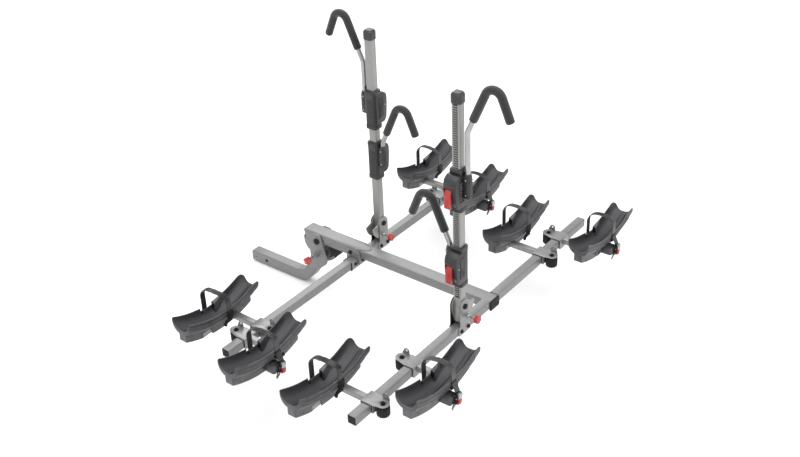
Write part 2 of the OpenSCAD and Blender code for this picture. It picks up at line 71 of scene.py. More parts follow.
# y and z of a mast's pin in its foot
MAST_PIN = (12, 36)
ROD_R, ROD_X, GRIP_R = 10.0, 40.0, 16.0
TRAY_L, TRAY_W, REACH = 384.0, 94.0, 164.0
STRAP_W = 25.0
# arm x, arm top, side of the arm, carriage y, tray y
CARRIERS = [
    (FRONT_X, FRONT_TOP, -1, -612, -675), (FRONT_X, FRONT_TOP, 1, -692, -757),
    (REAR_X, TOP, -1, -750, -794), (REAR_X, TOP, 1, -506, -571),
    (FRONT_X, FRONT_TOP, -1, 680, 741), (FRONT_X, FRONT_TOP, 1, 598, 659),
    (REAR_X, TOP, -1, 385, 452), (REAR_X, TOP, 1, 530, 590),
]
# x, y, arm top, fold side of each mast
MASTS = {"front": (FRONT_X, 150.0, FRONT_TOP, -1), "rear": (REAR_X, -207.0, TOP, 1)}
# mast, cuff height, hook side, lever side, grip height, rod foot height
SLIDERS = {
    "front_upper": ("front", 538, -1, 1, 870, 602), "front_lower": ("front", 306, 1, 1, 525, 370),
    "rear_upper": ("rear", 504, 1, -1, 874, 568), "rear_lower": ("rear", 180, -1, -1, 388, 244),
}


# ---------- materials ----------

def feed(tree, n, **values):
    """Sets a node's settings and inputs: a value that is another node's output is linked."""
    for key, value in values.items():
        socket = key.replace("_", " ")
        if isinstance(value, bpy.types.NodeSocket):
            tree.links.new(value, n.inputs[socket])
        elif hasattr(n, key):
            setattr(n, key, value)
        else:
            n.inputs[socket].default_value = value
    return n


def node(tree, kind, **values):
    return feed(tree, tree.nodes.new("ShaderNode" + kind), **values)


def ramp(tree, source, low, high, a=(0, 0, 0, 1), b=(1, 1, 1, 1)):
    r = node(tree, "ValToRGB", Fac=source)
    for stop, position, colour in zip(r.color_ramp.elements, (low, high), (a, b)):
        stop.position, stop.color = position, colour
    return r.outputs[0]


def mixed(tree, factor, a, b):
    """Colour a, and colour b where the factor is 1: each is a tuple or another node's output."""
    m = node(tree, "Mix", data_type="RGBA")
    for value, at in ((factor, 0), (a, 6), (b, 7)):
        if isinstance(value, tuple):
            m.inputs[at].default_value = value
        else:
            tree.links.new(value, m.inputs[at])
    return m.outputs[2]


# the materials by name, which is also the name of the slot
LOOKS = {}


def material(name, colour, rough, metal, vary, grain, depth, strength, stretch=(1, 1, 1), pores=0.0,
             wear=0.0, coat=0.0, sheen=0.0, spec=0.5, patch=18.0):
    """Colour and roughness drift in patches, fine grain or pores in the bump, and paler worn edges."""
    m = bpy.data.materials.new(name)
    m.use_nodes = True
    tree = m.node_tree
    coords = node(tree, "TexCoord").outputs["Object"]
    drift = node(tree, "TexNoise", Vector=coords, Scale=patch, Detail=5.0, Roughness=0.62).outputs[0]
    mapped = node(tree, "Mapping", Vector=coords, Scale=stretch).outputs[0]
    fine = node(tree, "TexNoise", Vector=mapped, Scale=grain, Detail=3.0, Roughness=0.6).outputs[0]

    def tint(k, add=0.0):
        return tuple(min(1, c * k + add) for c in colour) + (1,)

    base = mixed(tree, ramp(tree, drift, 0.3, 0.7), tint(1 - vary), tint(1 + vary))
    base = mixed(tree, ramp(tree, fine, 0.52, 0.75, b=(0.5, 0.5, 0.5, 1)), base, tint(1 + 1.6 * vary))
    if wear:
        edge = ramp(tree, node(tree, "NewGeometry").outputs["Pointiness"], 0.53, 0.6)
        rubbed = node(tree, "Math", operation="MULTIPLY")
        tree.links.new(edge, rubbed.inputs[0])
        tree.links.new(ramp(tree, drift, 0.4, 0.6), rubbed.inputs[1])
        base = mixed(tree, rubbed.outputs[0], base, tint(1, wear))
    bump = node(tree, "Bump", Strength=strength, Distance=depth, Height=fine)
    if pores:
        cells = node(tree, "TexVoronoi", Vector=coords, Scale=pores).outputs["Distance"]
        bump = node(tree, "Bump", Strength=0.7, Distance=0.0004, Height=ramp(tree, cells, 0.1, 0.55),
                    Normal=bump.outputs[0])
    low, high = (rough * 0.93,) * 3 + (1,), (min(1, rough * 1.08),) * 3 + (1,)
    feed(tree, tree.nodes["Principled BSDF"], Base_Color=base, Metallic=metal, Specular_IOR_Level=spec,
         Roughness=ramp(tree, drift, 0.3, 0.7, low, high), Normal=bump.outputs[0], Coat_Weight=coat,
         Coat_Roughness=0.25, Sheen_Weight=sheen, Sheen_Roughness=0.5)
    LOOKS[name] = m


material("silver_paint", (0.170, 0.172, 0.171), 0.40, 0.3, 0.03, 1600, 0.00004, 0.15,
         wear=0.015, coat=0.12)
material("carriage_metal", (0.24, 0.24, 0.242), 0.36, 0.55, 0.05, 700, 0.00006, 0.2,
         stretch=(1, 0.12, 1), wear=0.04)
material("mast_metal", (0.27, 0.267, 0.26), 0.36, 0.55, 0.05, 1500, 0.00008, 0.3,
         stretch=(1, 1, 0.02), patch=9.0)
material("bright_steel", (0.36, 0.36, 0.36), 0.25, 0.85, 0.10, 900, 0.00006, 0.25,
         stretch=(1, 1, 0.1))
material("tray_plastic", (0.034, 0.032, 0.036), 0.44, 0.0, 0.10, 1900, 0.0002, 0.4,
         wear=0.05, patch=24.0)
material("slider_plastic", (0.012, 0.0115, 0.0125), 0.40, 0.0, 0.10, 1700, 0.00018, 0.35,
         wear=0.05)
material("strap_plastic", (0.018, 0.018, 0.020), 0.38, 0.0, 0.14, 1400, 0.0001, 0.3,
         wear=0.06)
material("black_plastic", (0.008, 0.008, 0.009), 0.55, 0.0, 0.15, 1500, 0.00015, 0.3,
         wear=0.02, spec=0.18)
material("cap_plastic", (0.022, 0.022, 0.023), 0.40, 0.0, 0.12, 1500, 0.00015, 0.35,
         wear=0.05)
material("red_plastic", (0.36, 0.012, 0.010), 0.36, 0.0, 0.10, 1300, 0.0001, 0.2,
         wear=0.10, coat=0.25)
material("foam_grip", (0.009, 0.0085, 0.0085), 0.50, 0.0, 0.18, 2200, 0.0003, 0.5,
         pores=900.0, sheen=0.25, spec=0.35)


# ---------- mesh building ----------

def circle(r, n=32):
    return [(r * math.cos(2 * math.pi * i / n), r * math.sin(2 * math.pi * i / n)) for i in range(n)]


def hole(x, y, r, n=32):
    """A circle about (x, y)."""
    return [(x + p, y + q) for p, q in circle(r, n)]


def rrect(w, h, r, n=4, side=0):
    """Rounded rectangle, with side extra points along its top and bottom."""
    points = []
    for sx, sy, start in ((1, 1, 0), (-1, 1, 90), (-1, -1, 180), (1, -1, 270)):
        for i in range(n + 1):
            a = math.radians(start + 90 * i / n)
            points.append((sx * (w / 2 - r) + r * math.cos(a), sy * (h / 2 - r) + r * math.sin(a)))
        if side and start in (0, 180):
            last = points[-1][0]
            points += [(last * (1 - 2 * k / (side + 1)), sy * h / 2) for k in range(1, side + 1)]
    return points


def rounded(outline, r, n=4):
    """The outline with each corner cut back by up to r along a curve."""
    points = []
    for i, (x, y) in enumerate(outline):
        p, a, b = Vector((x, y)), Vector(outline[i - 1]), Vector(outline[(i + 1) % len(outline)])
        start = p + (a - p).normalized() * min(r, (a - p).length * 0.45)
        end = p + (b - p).normalized() * min(r, (b - p).length * 0.45)
        for k in range(n + 1):
            t = k / n
            q = start * (1 - t) ** 2 + p * 2 * t * (1 - t) + end * t * t
            points.append((q.x, q.y))
    return points


def inset(outline, d):
    """The outline moved inwards by d, for an outline that runs anticlockwise."""
    out = []
    n = len(outline)
    for i in range(n):
        p = Vector(outline[i])
        a, b = p - Vector(outline[i - 1]), Vector(outline[(i + 1) % n]) - p
        if a.length < 1e-6:
            a = b
        if b.length < 1e-6:
            b = a
        na, nb = Vector((-a.y, a.x)).normalized(), Vector((-b.y, b.x)).normalized()
        m = na + nb
        m = m / max(0.5, m.length_squared / 2)
        out.append((p.x + m.x * d, p.y + m.y * d))
    return out


def mirrored(outline, sign=1):
    """The outline with its x times sign, made to run anticlockwise."""
    turned = [(sign * x, y) for x, y in outline]
    area = sum(a[0] * b[1] - b[0] * a[1] for a, b in zip(turned, turned[1:] + turned[:1]))
    return turned if area > 0 else turned[::-1]


def skin(rings, close=False, caps=True):
    n = len(rings[0])
    verts = [Vector(p) for ring in rings for p in ring]
    faces = []
    for i in range(len(rings) if close else len(rings) - 1):
        a, b = i * n, (i + 1) % len(rings) * n
        faces += [(a + j, a + (j + 1) % n, b + (j + 1) % n, b + j) for j in range(n)]
    if caps and not close:
        faces += [tuple(reversed(range(n))), tuple(range((len(rings) - 1) * n, len(rings) * n))]
    return verts, faces


def at_z(outline, z):
    return [(x, y, z) for x, y in outline]


def stack(outline, steps):
    """Rings of the outline, each moved inwards by d at height z."""
    return [at_z(inset(outline, d), z) for d, z in steps]


def prism(outline, z0, z1, bevel=0.8):
    """A solid of the outline from z0 to z1, its rims rounded by bevel."""
    steps = [(bevel * (1 - math.sin(a)), bevel * (1 - math.cos(a))) for a in (0, math.pi / 4, math.pi / 2)]
    top = [(d, z1 - h) for d, h in reversed(steps)]
    return skin(stack(outline, [(d, z0 + h) for d, h in steps] + top))


def pad(w, h, r, t, bevel):
    """A low block with rounded corners."""
    return prism(rrect(w, h, r), 0, t, bevel)


def tube(outer, inner, z0, z1, bevel=0.6):
    """A hollow bar: both outlines have as many points."""
    steps = [(bevel, z0), (0, z0 + bevel), (0, z1 - bevel), (bevel, z1)]
    return skin(stack(outer, steps) + stack(inner, [(-d, z) for d, z in reversed(steps)]), close=True)


def lathe(profile, n=36):
    """A turned solid from (radius, z) points, with flat ends."""
    return skin([at_z(circle(max(r, 0.01), n), z) for r, z in profile])


def plate(outlines, t, bevel=0.6):
    """A flat plate 0 to t thick, the first outline its rim and the others its holes."""
    curve = bpy.data.curves.new("outline", "CURVE")
    curve.dimensions, curve.fill_mode = "2D", "BOTH"
    curve.extrude, curve.bevel_depth, curve.offset, curve.bevel_resolution = t / 2 - bevel, bevel, -bevel, 1
    for outline in outlines:
        spline = curve.splines.new("POLY")
        spline.points.add(len(outline) - 1)
        for p, (x, y) in zip(spline.points, outline):
            p.co = (x, y, 0, 1)
        spline.use_cyclic_u = True
    obj = bpy.data.objects.new("outline", curve)
    mesh = bpy.data.meshes.new_from_object(obj)
    verts = [v.co + Vector((0, 0, t / 2)) for v in mesh.vertices]
    faces = [tuple(f.vertices) for f in mesh.polygons]
    bpy.data.objects.remove(obj)
    bpy.data.curves.remove(curve)
    bpy.data.meshes.remove(mesh)
    return verts, faces


def hexagon(r):
    return rounded(circle(r, 6), r * 0.12, 2)


def bolt(r, h, socket=0.0):
    """A round bolt head with a domed rim and, if it has one, a hexagon socket."""
    dome = lathe([(r * 0.96, 0), (r, h * 0.12), (r, h * 0.62), (r * 0.93, h * 0.85), (r * 0.78, h)])
    return [dome] + ([prism(hexagon(socket), h - 0.1, h + 0.5, 0.2)] if socket else [])


def nut(r, h, stud):
    """A hexagon nut with chamfered corners on a washer, and the stud through it."""
    return [lathe([(r * 1.2, 0), (r * 1.25, 0.4), (r * 1.25, 1.4), (r * 1.18, 1.8)]),
            skin([at_z(hexagon(r * k), z) for k, z in ((0.94, 1.7), (1, 2.6), (1, h - 1), (0.9, h))]),
            lathe([(stud, h - 0.2), (stud, h + 2.2), (stud * 0.8, h + 3)])]


def moved(shapes, matrix):
    if isinstance(shapes, tuple):
        shapes = [shapes]
    return [([matrix @ v for v in verts], faces) for verts, faces in shapes]


def placed(*pairs):
    """Each (shapes, matrix) pair put in its place, as one list of shapes."""
    return [shape for shapes, matrix in pairs for shape in moved(shapes, matrix)]


def copies(shapes, places):
    """The same shapes put in each of the places, as one list."""
    return [shape for matrix in places for shape in moved(shapes, matrix)]


def frame_at(origin, x, y, z):
    m = Matrix.Identity(4)
    for i, axis in enumerate((x, y, z, origin)):
        m.col[i].xyz = axis
    return m


def along_x(x, y, z, e=1):
    """A shape's own (x, y, z) become (Y, Z, X), growing to the e side of X."""
    return frame_at((x, y, z), (0, 1, 0), (0, 0, 1), (e, 0, 0))


def along_y(x, y, z):
    """A shape's own (x, y, z) become (Z, X, Y)."""
    return frame_at((x, y, z), (0, 0, 1), (1, 0, 0), (0, 1, 0))


def across(x, y, z, e=-1):
    """A shape's own (x, y, z) become (X, Z, Y), growing to the e side of Y."""
    return frame_at((x, y, z), (1, 0, 0), (0, 0, 1), (0, e, 0))


def shift(x, y, z):
    return Matrix.Translation((x, y, z))


def mirror_x(sign):
    return Matrix.Diagonal((sign, 1, 1, 1))


def mirror_y(sign):
    return Matrix.Diagonal((1, sign, 1, 1))


def direction(path, i):
    """The path's unit direction at its point i."""
    return (Vector(path[min(len(path) - 1, i + 1)]) - Vector(path[max(0, i - 1)])).normalized()


def sweep_rings(path, section, y=0.0, scale=None):
    """Rings of a section along (x, z) points: its own x is outwards in the plane and its own y is Y."""
    rings = []
    for i, (x, z) in enumerate(path):
        t, ring = direction(path, i), []
        for u, v in section:
            k = scale(i, u, v) if scale else 1.0
            ring.append((x - t.y * u * k, y + v * k, z + t.x * u * k))
        rings.append(ring)
    return rings


def arc(cx, cz, r, start, end, n):
    """Points on a circle in the XZ plane, angles in degrees from +X towards +Z."""
    return [(cx + r * math.cos(math.radians(start + (end - start) * i / n)),
             cz + r * math.sin(math.radians(start + (end - start) * i / n))) for i in range(n + 1)]


def linked(name, data):
    obj = bpy.data.objects.new(name, data)
    bpy.context.scene.collection.objects.link(obj)
    return obj


def piece(name, shapes, body, look, cad, place=Matrix.Identity(4), sharp=SHARP):
    """Makes one object of the shapes, riding on its body and standing for the CAD node."""
    verts, faces = [], []
    for v, f in shapes:
        base = len(verts)
        verts += [place @ Vector(p) * MM for p in v]
        faces += [tuple(i + base for i in face) for face in f]
    mesh = bpy.data.meshes.new(name)
    mesh.from_pydata(verts, [], faces)
    bm = bmesh.new()
    bm.from_mesh(mesh)
    bmesh.ops.remove_doubles(bm, verts=bm.verts, dist=1e-6)
    bmesh.ops.dissolve_degenerate(bm, edges=bm.edges, dist=1e-6)
    bmesh.ops.recalc_face_normals(bm, faces=bm.faces)
    bm.to_mesh(mesh)
    bm.free()
    mesh.polygons.foreach_set("use_smooth", [True] * len(mesh.polygons))
    mesh.set_sharp_from_angle(angle=math.radians(sharp))
    mesh.materials.append(LOOKS[look])
    obj = linked(name, mesh)
    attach(obj, body)
    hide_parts(cad)
    return obj


def drill(obj, holes):
    """Cuts round holes: each is (matrix, radius, length) with the hole along its own z."""
    for matrix, r, length in holes:
        verts, faces = lathe([(r, 0), (r, length)], 40)
        mesh = bpy.data.meshes.new("cutter")
        mesh.from_pydata([matrix @ v * MM for v in verts], [], faces)
        cutter = linked("cutter", mesh)
        cut = obj.modifiers.new("hole", "BOOLEAN")
        cut.operation, cut.object, cut.solver = "DIFFERENCE", cutter, "EXACT"
        bpy.context.view_layer.update()
        made = bpy.data.meshes.new_from_object(obj.evaluated_get(bpy.context.evaluated_depsgraph_get()))
        obj.modifiers.clear()
        old = obj.data
        obj.data = made
        bpy.data.meshes.remove(old)
        bpy.data.objects.remove(cutter)
    obj.data.set_sharp_from_angle(angle=math.radians(SHARP))


# ---------- hitch and tilt pin ----------

def hitch():
    slope, wall, bend = math.radians(60), 5, 100
    path = [(x, 0) for x in (-89, -88, 0, 90, 182)] + arc(182, bend, bend, -90, -30, 18)[1:]
    ex, ez = path[-1]
    path += [(ex + math.cos(slope) * d, ez + math.sin(slope) * d) for d in (40, 80, 98, 99)]
    ends = (0, len(path) - 1)
    outside = sweep_rings(path, rrect(SHANK, SHANK, 7, 5), 0, lambda i, *_: 0.985 if i in ends else 1.0)
    bore = SHANK - 2 * wall
    inside = sweep_rings(path, rrect(bore, bore, 3.5, 5))
    shell = skin(outside + inside[::-1], close=True)
    bar = piece("hitch_tube", [shell], "hitch", "silver_paint", "hitch_shank")
    drill(bar, [(along_y(0, -40, 0), 8.15, 80), (along_y(-65, -40, 0), 3.2, 30)])

    px, pz = PIVOT
    ear_y, ear_t = 39.3, 6.5
    ear = rounded([(310, 262), (298, 232), (292, 196), (298, 150), (272, 98), (296, 76), (350, 100),
                   (385, 131), (392, 150), (364, 262), (354, 271), (318, 271)], 13, 5)
    pin_x, pin_z = TILT_PIN
    ear = plate([ear, hole(px, pz, 9.1), hole(pin_x, pin_z, 6.3)], ear_t, 1.0)
    plates = copies(ear, (across(0, ear_t - ear_y, 0), across(0, ear_y, 0)))
    # packing between the leg and each ear
    packing = pad(56, 32, 5, 7.4, 1.0)
    for y in (-SHANK / 2 - 7.4, SHANK / 2):
        plates += moved(packing, shift(268.6, y, 50) @ Matrix.Rotation(-slope, 4, "Y") @ across(64, 7.4, 0))
    boss = [lathe([(12, 0), (12, 16.5), (10.8, 18), (10.2, 18.7)]),
            lathe([(14.2, 0), (13.6, 1.6), (12.0, 2.6)])]
    plates += moved(boss, across(pin_x, -ear_y, pin_z))
    piece("hitch_ears", plates, "hitch", "silver_paint", "hitch_shank")

    # weld beads where the ears meet the leg
    route = [(270 + 3.2 * i, 88 + 5.0 * i + 0.6 * math.sin(i * 2.1)) for i in range(15)]
    beads = [skin(sweep_rings(route, circle(2.3, 8), y, lambda i, *_: 0.85 + 0.2 * math.sin(i * 2.6)))
             for y in (-33.4, 33.4)]
    piece("hitch_welds", beads, "hitch", "silver_paint", "hitch_shank")

    bolts = placed((bolt(14, 8.7, 6.4), across(px, -ear_y, pz)), (nut(13, 14, 7), along_y(px, ear_y, pz)),
                   (lathe([(9, 0), (9, 2 * ear_y)]), across(px, ear_y, pz)),
                   (bolt(9, 8.7, 4.4), along_y(366, ear_y, 250)))
    piece("hitch_bolts", bolts, "hitch", "black_plastic", "hitch_shank")


def star(lobes, inner, outer, n=60):
    """Outline of a knob with round lobes."""
    out = []
    for i in range(n):
        a = 2 * math.pi * i / n
        k = 0.5 + 0.5 * math.cos(lobes * a)
        r = inner + (outer - inner) * k ** 0.6
        out.append((r * math.sin(a), r * math.cos(a)))
    return list(reversed(out))


def knob_solid(outline, h, bevel):
    """A moulded knob: rounded rims, a shallow waist and a dished face."""
    b = bevel * 0.3
    rings = stack(outline, ((bevel, 0), (b, b), (0, bevel), (0.5, h * 0.5), (0, h - bevel), (b, h - b),
                            (bevel, h), (bevel + 1.4, h - 0.2)))
    return skin(rings + [at_z([(x * 0.55, y * 0.55) for x, y in outline], h - 1.4)])


def tilt_pin():
    x, z = TILT_PIN
    tip, knob_y = 58.8, -92
    steel = lathe([(6.2, 0), (6.2, 28.6), (8.4, 29), (9, 29.5), (9, 33.2), (6.2, 33.7), (6.2, tip - 1.3),
                   (5.2, tip)])
    piece("tilt_pin_shaft", moved(steel, along_y(x, knob_y, z)), "tilt_pin", "bright_steel", "tilt_lock_pin")
    cap = placed((knob_solid(star(5, 13.5, 18.4), 20, 3.4), across(x, knob_y, z)),
                 (lathe([(9, 0), (9, 2.2), (7, 3.4)]), across(x, knob_y - 18.6, z)))
    piece("tilt_pin_knob", cap, "tilt_pin", "red_plastic", "tilt_lock_pin")


# ---------- frame ----------

def sleeve():
    w, h = SPINE_W, SPINE_H
    cz = TOP - h / 2

    def end_x(y, z):
        tongue = 45 * math.sqrt(max(0, 1 - (y / (w / 2 - 5)) ** 2))
        return 567 + (tongue if z > h / 2 - 1.5 else 0)

    def start_x(z):
        return 262 + max(0, (14 - (z + h / 2)) * 1.35) + max(0, (z - h / 2 + 3) * 0.5)

    def ring(outline, t):
        return [(start_x(z) * (1 - t) + end_x(y, z) * t, y, cz + z) for y, z in outline]

    outer, inner = rrect(w, h, 6, 4, side=9), rrect(w - 4.8, h - 4.8, 3.6, 4, side=9)
    rings = [ring(inset(outer, d), t) for t, d in ((0.0, 0.7), (0.01, 0), (0.5, 0), (0.99, 0), (1.0, 0.7))]
    rings += [ring(inner, t) for t in (1.0, 0.5, 0.0)]
    piece("spine_sleeve_tube", [skin(rings, close=True)], "rack", "silver_paint", "spine_sleeve")

    rim = rounded([(262, 244), (258, 226), (262, 200), (276, 178), (300, 162), (330, 156), (362, 158),
                   (366, 196), (376, 226), (372, 252), (300, 262)], 9, 4)
    cheek = plate([rim, hole(273, 236, 6.3), hole(*TILT_PIN, 6.3), hole(*PIVOT, 9.1)], 5, 0.8)
    cheeks = copies(cheek, (across(0, -26.8, 0), across(0, 31.8, 0)))
    piece("index_cheeks", cheeks, "rack", "silver_paint", "spine_sleeve")

    block = rounded([(402, 190), (430, 176), (458, 208), (460, 228), (400, 228)], 6)
    face = rounded([(394, 172), (404, 168), (452, 222), (444, 226)], 2)
    stop = placed((plate([block], 52, 1.6), across(0, 26, 0)), (plate([face], 58, 1.2), across(0, 29, 0)))
    piece("stop_block", stop, "rack", "black_plastic", "spine_sleeve")


def square_tube(length, w, r, wall):
    return tube(rrect(w, w, r, 5), rrect(w - 2 * wall, w - 2 * wall, r - wall, 5), 0, length, 0.5)


def arm_tube(length):
    return square_tube(length, ARM, 5.5, 2.6)


def bead(points, r):
    """A weld bead along 3-D points, its scallops about 4 mm apart."""
    rings = []
    for i, p in enumerate(points):
        t = direction(points, i)
        u = t.orthogonal().normalized()
        v = t.cross(u)
        k = r * (0.85 + 0.18 * math.sin(i * 2.2))
        rings.append([Vector(p) + u * x * k + v * y * k for x, y in circle(1, 8)])
    return skin(rings)


def line(a, b, step=1.6):
    a, b = Vector(a), Vector(b)
    n = max(2, int((b - a).length / step))
    return [tuple(a.lerp(b, i / n)) for i in range(n + 1)]


def rack_frame():
    half, beside = ARM / 2, SPINE_W / 2 - 2.5
    spine = tube(rrect(59, 41, 5, 5), rrect(53, 35, 2.4, 5), 0, REAR_X + half - 400, 0.5)
    spine = moved(spine, along_x(400, 0, TOP - SPINE_H / 2))
    piece("spine_tube", spine, "rack", "silver_paint", "rear_frame")
    arms = placed((arm_tube(-REAR_ENDS[0] - beside), along_y(REAR_X, REAR_ENDS[0], TOP - half)),
                  (arm_tube(REAR_ENDS[1] - beside), along_y(REAR_X, beside, TOP - half)))
    piece("rear_arm", arms, "rack", "silver_paint", "rear_frame")
    welds = []
    for s in (-1, 1):
        for x in (REAR_X - half, REAR_X + half - 1):
            welds.append(bead(line((x, s * 30, TOP - ARM + 3), (x, s * 30, TOP - 5)), 1.8))
        for y, z in ((s * 30, TOP - ARM), (s * 29.8, TOP - 2.6)):
            welds.append(bead(line((REAR_X - 15, y, z), (REAR_X + 14, y, z)), 1.8))
    piece("frame_welds", welds, "rack", "silver_paint", "rear_frame")
    arm = moved(arm_tube(FRONT_ENDS[1] - FRONT_ENDS[0]), along_y(FRONT_X, FRONT_ENDS[0], FRONT_TOP - half))
    piece("front_arm_tube", arm, "rack", "silver_paint", "front_arm")


def end_plug(w):
    """A plug with a low domed face: its flange stands just outside the tube's mouth."""
    rim = rrect(w, w, 4, 4)
    parts = [prism(rim, -2.2, 0.4, 0.8), prism(inset(rim, 3.4), -14, -0.5, 0.8)]
    return parts + [skin(stack(rim, ((1.2, 0.2), (2.2, 1.0), (6, 1.2))))]


def caps():
    shapes = []
    for x, top, (y0, y1) in ((FRONT_X, FRONT_TOP, FRONT_ENDS), (REAR_X, TOP, REAR_ENDS)):
        z = top - ARM / 2
        shapes += placed((end_plug(ARM - 3), across(x, y0, z)), (end_plug(ARM - 3), along_y(x, y1, z)))
    piece("arm_end_plugs", shapes, "rack", "black_plastic", "end_caps")
    x = REAR_X + ARM / 2
    rim = rrect(SPINE_W, SPINE_H, 8, 5)
    face = skin(stack(rim, ((0.8, 0), (0, 0.8), (0, 3.4), (1.2, 5.0), (3.6, 5.9), (9, 6.0))))
    cap = placed((face, along_x(x + 0.1, 0, TOP - 24)),
                 (prism(rrect(52.6, 34.6, 2.4), -18, 0.2, 0.8), along_x(x, 0, TOP - SPINE_H / 2)))
    piece("spine_end_cap", cap, "rack", "black_plastic", "end_caps")


def saddle():
    g = ARM / 2 + 0.3
    cz = FRONT_TOP - ARM / 2

    def cradle(grow, roof, length, bevel):
        half, low, r = g + grow, cz - ARM / 2 - grow, 3.0
        outer = [(half, roof), (half, low + 5), (half - 1.5, low + 1.5), (half - 5, low),
                 (-half + 5, low), (-half + 1.5, low + 1.5), (-half, low + 5), (-half, roof)]
        inner = [(-g, roof), (-g, cz - g + r), (-g + r, cz - g), (g - r, cz - g), (g, cz - g + r), (g, roof)]
        return plate([(outer + inner)[::-1]], length, bevel)

    body = moved(cradle(3.4, FRONT_TOP - 1, 144, 0.7), across(FRONT_X, 72, 0))
    cheek = rounded([(-36, -26), (-22, -26), (-20, 0), (20, 0), (23, -26), (36, -26), (36, 30), (28, 38),
                     (-28, 38), (-36, 30)], 6)
    cheek = plate([cheek, hole(-13, 23, 5)], 4, 0.7)
    body += placed((cheek, across(FRONT_X, -SPINE_W / 2 - 0.2, FRONT_TOP)),
                   (cheek, across(FRONT_X, SPINE_W / 2 + 4.2, FRONT_TOP)))
    piece("saddle_cradle", body, "rack", "silver_paint", "front_saddle")
    rim = cradle(4.6, FRONT_TOP - 0.6, 1.5, 0.3)
    rims = copies(rim, (across(FRONT_X, -72.1, 0), across(FRONT_X, 73.6, 0)))
    piece("saddle_liner", rims, "rack", "black_plastic", "front_saddle")
    wall = g + 3.4
    bolts = placed((bolt(9, 7.8, 4.6), across(528, -36.2, 249)), (nut(9, 7.6, 4.4), along_y(528, 36.2, 249)),
                   (nut(8, 8, 3.8), along_x(FRONT_X + wall, 0, cz)),
                   (nut(8, 8, 3.8), along_x(FRONT_X - wall, 0, cz, -1)),
                   (bolt(7, 5, 3.6), along_x(FRONT_X + wall, -50, cz + 2)),
                   (bolt(7, 5, 3.6), along_x(FRONT_X + wall, 50, cz + 2)))
    piece("saddle_bolts", bolts, "rack", "black_plastic", "front_saddle")


# ---------- mast feet, masts and their pins ----------

def foot_outline(w):
    top = arc(0, PIVOT_H, w / 2, 0, 180, 18)
    wide = w / 2 + 8
    base = [(-w / 2, 2), (-wide, -8), (-wide, -ARM), (wide, -ARM), (wide, -8), (w / 2, 2)]
    return rounded(base + top, 3, 2)


def mast_foot(name, x, y, z, fold):
    here = shift(x, y, z) @ mirror_y(fold)
    front, back = ARM / 2 + 0.1, -ARM / 2 - 5.1
    pin_y, pin_z = MAST_PIN
    pivot = hole(0, PIVOT_H, 6.1)
    rib = bead([(0, p, q) for p, q in arc(0, PIVOT_H, 20.5, -10, 190, 20)], 1.6)
    silver = placed((plate([foot_outline(58), pivot, hole(pin_y, pin_z, 5.3)], 4, 0.7), along_x(front, 0, 0)),
                    (rib, shift(front + 3.5, 0, 0)))
    piece(name + "_foot_plate", silver, "rack", "carriage_metal", "mast_brackets", here)
    black = placed((plate([foot_outline(62), pivot], 5, 1.2), along_x(back, 0, 0)),
                   (plate([rrect(52, 40, 5)], 2.2, 0.6), along_x(back - 1.5, 0, 48)),
                   (bolt(11, 7.9, 5), along_x(front + 4, 0, PIVOT_H)),
                   (lathe([(6, 0), (6, ARM + 9)]), along_x(back + 0.1, 0, PIVOT_H)),
                   (nut(9, 8.6, 5), along_x(back, 0, PIVOT_H, -1)))
    for s in (-22, 22):
        black += copies(nut(7, 5.9, 3), (along_x(front + 4, s, -20), along_x(back, s, -20, -1)))
    piece(name + "_foot_black", black, "rack", "black_plastic", "mast_brackets", here)
    at_pin = here @ along_x(front - 0.2, pin_y, pin_z)
    barrel = ((5.4, 0), (10.4, 0), (10.4, 1.6), (9, 2.4), (9, 14.6), (8.2, 15.9), (5.4, 15.9))
    barrel = skin([at_z(circle(r, 28), h + 4.2) for r, h in barrel], close=True)
    piece(name + "_pin_barrel", [barrel], "rack", "bright_steel", "mast_brackets", at_pin)
    pin = lathe([(4.4, 0), (5.2, 0.8), (5.2, 27.5), (6.6, 28), (6.6, 31), (5.2, 31.5), (5.2, 44.2)])
    body, cad = "pin_" + name, name + "_mast_pin"
    piece(name + "_pin_shaft", [pin], body, "bright_steel", cad, at_pin)
    red = knob_solid(star(6, 13.6, 17.2), 17.8, 3.0)
    piece(name + "_pin_knob", [red], body, "red_plastic", cad, at_pin @ shift(0, 0, 44.1))


